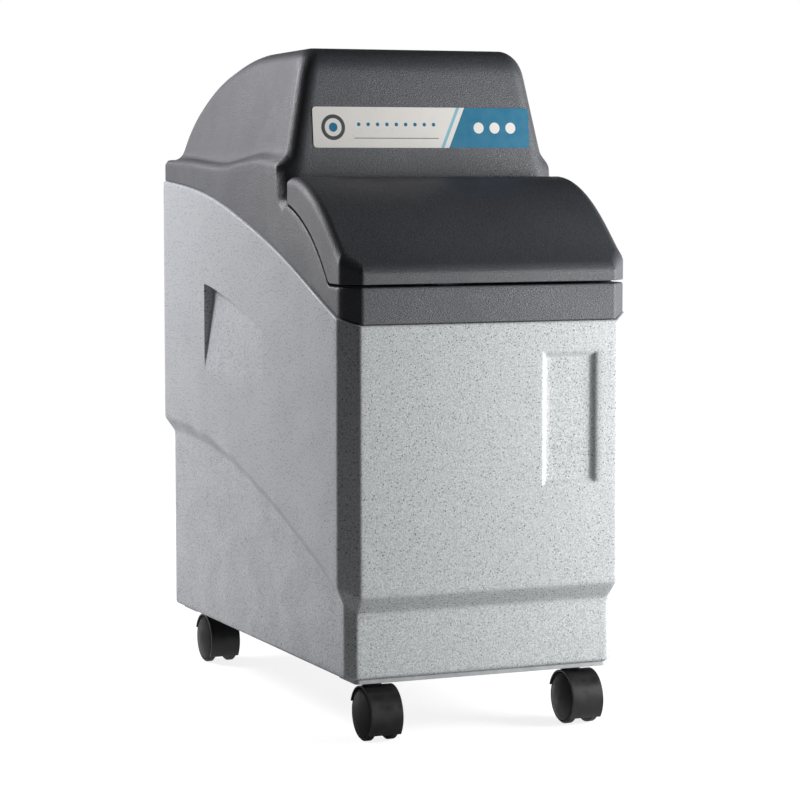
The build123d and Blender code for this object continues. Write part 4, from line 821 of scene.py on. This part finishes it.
def hoodLoop(half, front, rear, near, far, xShares, sideShares, notch):
    # rounded rectangle, anticlockwise from the front left: radius near at the front, far at the rear
    def arc(cx, cy, radius, start):
        angle = np.radians(start + 90 * arcPlaces)
        return np.column_stack([cx + radius * np.cos(angle), cy + radius * np.sin(angle)])

    x, y = half - near, front + near + (rear - far - front - near) * sideShares
    end = half - far
    notch = min(notch, end / 2)
    back = np.r_[np.linspace(end, notch, backCount), np.linspace(notch, -notch, backCount + 2)[1:-1],
                 np.linspace(-notch, -end, backCount)]
    return np.vstack([
        np.column_stack([-x + 2 * x * xShares, np.full(len(xShares), front)]), arc(x, front + near, near, -90),
        np.column_stack([np.full(len(y), half), y]), arc(end, rear - far, far, 0),
        np.column_stack([back, np.full(len(back), rear)]), arc(-end, rear - far, far, 90),
        np.column_stack([np.full(len(y), -half), y[::-1]]), arc(-x, front + near, near, 180)])


def hoodRings(look, xs, notchY):
    # loops from the plan's outline through the hood's foot and its upper edge to a line along its top
    half, front, rear, cut = look["plan"]
    dense, run, *counts = look["loopRun"]
    sideShares = np.r_[np.linspace(0, dense, counts[0]), np.linspace(dense, run, counts[1])[1:]] / run
    xShares = (xs + half) / (2 * half)
    shapes = [(half, look["join"], rear, 0.0, cut), *look["loops"]]
    loops = [hoodLoop(*shape, xShares, sideShares, look["cutout"][0]) for shape in shapes]
    # the outermost loop's rear corners are cuts, not arcs
    corner = len(arcPlaces)
    first = len(xs) + corner + len(sideShares)
    for start, sign, across in ((first, 1, arcPlaces), (first + corner + 3 * backCount, -1, 1 - arcPlaces)):
        loops[0][start:start + corner] = np.column_stack([sign * (half - cut * across), rear - cut * (1 - across)])
    rings = [loops[0]]
    for a, b, count, shapeA, shapeB in zip(loops, loops[1:], look["ringCounts"], shapes, shapes[1:]):
        shares = np.linspace(0, 1, count + 1)[1:]
        if shapeB[2] < notchY < shapeA[2]:
            notchShare = (shapeA[2] - notchY) / (shapeA[2] - shapeB[2])
            shares[np.argmin(np.abs(shares - notchShare))] = notchShare
        rings += [a + (b - a) * share for share in shares]
    return np.stack(rings)


def coverSkin(look):
    openX, openStart, openEnd = look["opening"]
    notchX, notchTop, notchStart = look["cutout"]
    plan = look["plan"]
    at = np.linspace(notchStart, cabinetLook["depth"], 600)
    ridge = topHeights(outsideCover, 0 * at, at)
    notchY = float(np.interp(-notchTop, -ridge, at))
    xs = bothSides(np.unique(np.r_[lines(*look["acrossLines"], last=plan[0]), openX]))
    ys = np.unique(np.r_[plan[1] + lines(*look["edgeLines"]), lines(*look["deckLines"], last=look["join"])])
    x, y = planGrid(xs, ys, plan, plan[3], look["still"])
    deck = np.stack([x, y, topHeights(outsideCover, x, y)], axis=-1)
    midX = (deck[:-1, :-1, 0] + deck[1:, 1:, 0]) / 2
    midY = (deck[:-1, :-1, 1] + deck[1:, 1:, 1]) / 2
    hole = (np.abs(midX) < openX) & (midY > openStart) & (midY < openEnd)
    rings = hoodRings(look, xs, notchY)
    x, y = rings[..., 0], rings[..., 1]
    hood = np.stack([x, y, topHeights(outsideCover, x, y)], axis=-1)
    along = np.roll(hood, -1, axis=1)
    notch = (np.abs((x + along[..., 0]) / 2) < notchX)[:-1] & ((y[:-1] + y[1:]) / 2 > notchY)
    edge = np.vstack([deck[0, :-1], deck[:-1, -1], hood[0, len(xs) - 1:], hood[0, :1], deck[-2:0:-1, 0]])
    wall = dropWall(edge, seamHeights(edge[:, 1]) + look["seamGap"], np.linspace(0, 1, look["wallRows"]))
    nextEdge = np.roll(edge, -1, axis=0)
    rearGap = (np.abs((edge[:, 0] + nextEdge[:, 0]) / 2) < notchX) & (np.minimum(edge[:, 1], nextEdge[:, 1])
                                                                    > plan[2] - 0.1)
    keptWall = np.broadcast_to(~rearGap, (len(wall) - 1, len(edge)))
    return (deck, ~hole, False), (hood, ~notch, True), (wall[::-1], keptWall, True)


def coverSpigot(look):
    # a lip that drops inside the cabinet: its section is carried round the plan, open at the rear notch
    near, far, drop = look["spigot"]
    half, depth, cut, corner = (cabinetLook[name] for name in ("half", "depth", "upperCut", "corner"))
    section = [(near, -drop), (far, -drop), (far, drop), (look["wall"] - 0.5, drop),
               (look["wall"] - 0.5, look["seamGap"]), (near, look["seamGap"])]
    rows = []
    for inset, rise in section + section[:1]:
        loop = planLoop(half - inset, inset, depth - inset, cut - inset * (2 - np.sqrt(2)), corner,
                        np.linspace(0.02, 0.98, 24), np.linspace(0.02, 0.98, 60))
        rear = np.argmin(np.hypot(loop[:, 0] - look["cutout"][0], loop[:, 1] - (depth - inset)))
        loop = np.roll(loop, -rear - 1, axis=0)
        loop = loop[np.argmin(np.hypot(loop[:, 0] + look["cutout"][0], loop[:, 1] - (depth - inset))):]
        rows.append(np.column_stack([loop, seamHeights(loop[:, 1]) + rise]))
    count = min(len(r) for r in rows)
    band = np.stack([r[:count] for r in rows])
    caps = [np.repeat(band[:, end:end + 1].mean(axis=0, keepdims=True), len(rows), axis=0) for end in (0, -1)]
    return np.concatenate([caps[0], band, caps[1]], axis=1), None, False


earPlaces = [side * coverLook["hingeX"] + end * (coverLook["barrel"] / 2 + coverLook["gap"] + coverLook["ear"] / 2)
             for side in (-1, 1) for end in (-1, 1)]


def hingeLugs(look, places, width, tail, turns=40):
    # lugs round the hinge pins: a circle whose lower half runs on down as a straight tail, closed round its hole
    (y, z), radius, hole = look["hinge"], look["hingeR"], look["pinR"] + look["pinGap"]
    angle = np.linspace(0, 2 * np.pi, turns, endpoint=False)
    across, up = np.cos(angle), np.sin(angle)
    reach = np.where(up < 0, np.minimum(radius / np.maximum(np.abs(across), 1e-6),
                                        tail / np.maximum(-up, 1e-6)), radius)
    rows = [(hole, -1), (hole, 1), (reach, 1), (reach, -1), (hole, -1)]
    return [(np.stack([np.column_stack([np.full(turns, x + side * width / 2), y + r * across, z + r * up])
                       for r, side in rows]), None, True) for x in places]


def thicken(piece, wall, *extra):
    # a wall inside the sheet; parts that are closed already are added after it
    solid = piece.modifiers.new("wall", "SOLIDIFY")
    solid.thickness = wall * mm
    solid.offset = -1
    solid.use_rim = True
    graph = bpy.context.evaluated_depsgraph_get()
    mesh = bpy.data.meshes.new_from_object(piece.evaluated_get(graph))
    piece.modifiers.clear()
    work = bmesh.new()
    work.from_mesh(mesh)
    for other in extra:
        work.from_mesh(other.data)
        bpy.data.objects.remove(other)
    work.to_mesh(piece.data)
    work.free()
    piece.data.shade_smooth()
    piece.data.set_sharp_from_angle(angle=sharpAngle)
    return piece


coverPiece = gridPiece("cover_shell", coverSkin(coverLook))
coverEars = hingeLugs(coverLook, earPlaces, coverLook["ear"], coverLook["hinge"][1] - coverLook["earFoot"])
coverInside = gridPiece("cover_inside", [coverSpigot(coverLook), *coverEars])
thicken(coverPiece, coverLook["wall"], coverInside)
placePiece(coverPiece, "cover", "cover_plastic", "top_cover")
print("cover made:", len(coverPiece.data.polygons), "faces")


def labelSheet(look):
    # rounded rectangle on the hood's leaning front, raised by its own thickness and a hair's gap
    (y0, z0), (y1, z1) = coverLook["hood"][:2]
    up = np.array([y1 - y0, z1 - z0]) / np.hypot(y1 - y0, z1 - z0)
    out = np.array([-up[1], up[0]])
    foot = np.array([y0 + (y1 - y0) * (look["z"] - z0) / (z1 - z0), look["z"]])
    half, r = look["height"] / 2, look["corner"]
    rows = lines((-half, -half + r, 8), (-half + r, half - r, 8), (half - r, half, 8))
    over = np.clip(np.abs(rows) - (half - r), 0, r)
    wide = look["width"] / 2 - r + np.sqrt(r**2 - over**2)
    x = look["x"] + wide[:, None] * np.linspace(-1, 1, 41)
    place = foot + rows[:, None] * up + out * (look["thick"] + look["gap"])
    return np.stack([x, np.broadcast_to(place[:, :1], x.shape), np.broadcast_to(place[:, 1:], x.shape)], axis=-1)


labelPiece = thicken(gridPiece("label_sheet", [(labelSheet(labelLook), None, False)]), labelLook["thick"])
placePiece(labelPiece, "cover", "label_film", "front_label")
print("label made:", len(labelPiece.data.polygons), "faces")

# Salt lid skin: the same way, over its own outline
lidLook = {
    "plan": (147.6, 0.0, 150.8, 17.0), "wall": 3.0, "edges": ((0, 5), (20, 9)), "gap": 2.6, "ends": (445.0, 529.5),
    "shares": ((0.15, 0.205), (0.3, 0.44), (0.49, 0.7), (0.68, 0.88), (0.855, 0.974)), "notch": 2.6,
    # the outline carries on past the lid's rear and front, so that its edges round off there
    "past": (-20, 171.5, 90), "risePast": 60.0, "fallBefore": 62.0,
    "acrossLines": ((0, 135, 24), (135, 146.4, 18), (146.4, None, 5)),
    "alongLines": ((0, 1, 5), (1, 12, 14), (12, 20, 5), (20, 140, 30), (140, 149.5, 12), (149.5, None, 6)),
    "wallShares": (0, 0.15, 0.33, 0.5, 0.67, 0.85, 1), "still": 112.0, "rearCut": 0.01,
}


def lidSkin(look):
    runs, heights = shareCurve(look["shares"], *look["ends"])
    along = np.linspace(*look["past"])
    share = along / look["plan"][2]
    rise = np.maximum(share - 1, 0) * look["risePast"] + np.minimum(share, 0) * look["fallBefore"]
    table = distanceTable(np.column_stack([along, smoothCurve(runs, heights, share) + rise]))
    plan = look["plan"]

    def outside(x, y, z):
        return roundMeet(overLine(table, y, z), overPlan(x, y, plan, 0.0), np.interp(y, *np.transpose(look["edges"])))

    notches = np.array([place + end * look["notch"] for place in earPlaces for end in (-1, 1)])
    xs = bothSides(np.unique(np.r_[lines(*look["acrossLines"], last=plan[0]), np.abs(notches)]))
    x, y = planGrid(xs, lines(*look["alongLines"], last=plan[2]), plan, look["rearCut"], look["still"])
    top = np.stack([x, y, topHeights(outside, x, y)], axis=-1)
    edge = border(top)
    deck = np.interp(edge[:, 1], skirtLine[:, 0], skirtLine[:, 1]) + look["gap"]
    wall = dropWall(edge, deck, look["wallShares"])
    nextEdge = np.roll(edge, -1, axis=0)
    middle = (edge[:, 0] + nextEdge[:, 0]) / 2
    rearSide = np.minimum(edge[:, 1], nextEdge[:, 1]) > plan[2] - 0.1
    cut = rearSide & (np.abs(middle[:, None] - np.array(earPlaces)) < look["notch"]).any(axis=1)
    low = (np.arange(len(wall) - 1) >= 1)[:, None]
    return (top, None, False), (wall[::-1], ~(low & cut)[::-1], True)


lidPiece = gridPiece("salt_lid_shell", lidSkin(lidLook))
lidInside = gridPiece("salt_lid_barrels", hingeLugs(coverLook, (-coverLook["hingeX"], coverLook["hingeX"]),
                                                    coverLook["barrel"], coverLook["hingeR"]))
thicken(lidPiece, lidLook["wall"], lidInside)
placePiece(lidPiece, "lid", "cover_plastic", "salt_lid")
print("lid made:", len(lidPiece.data.polygons), "faces")
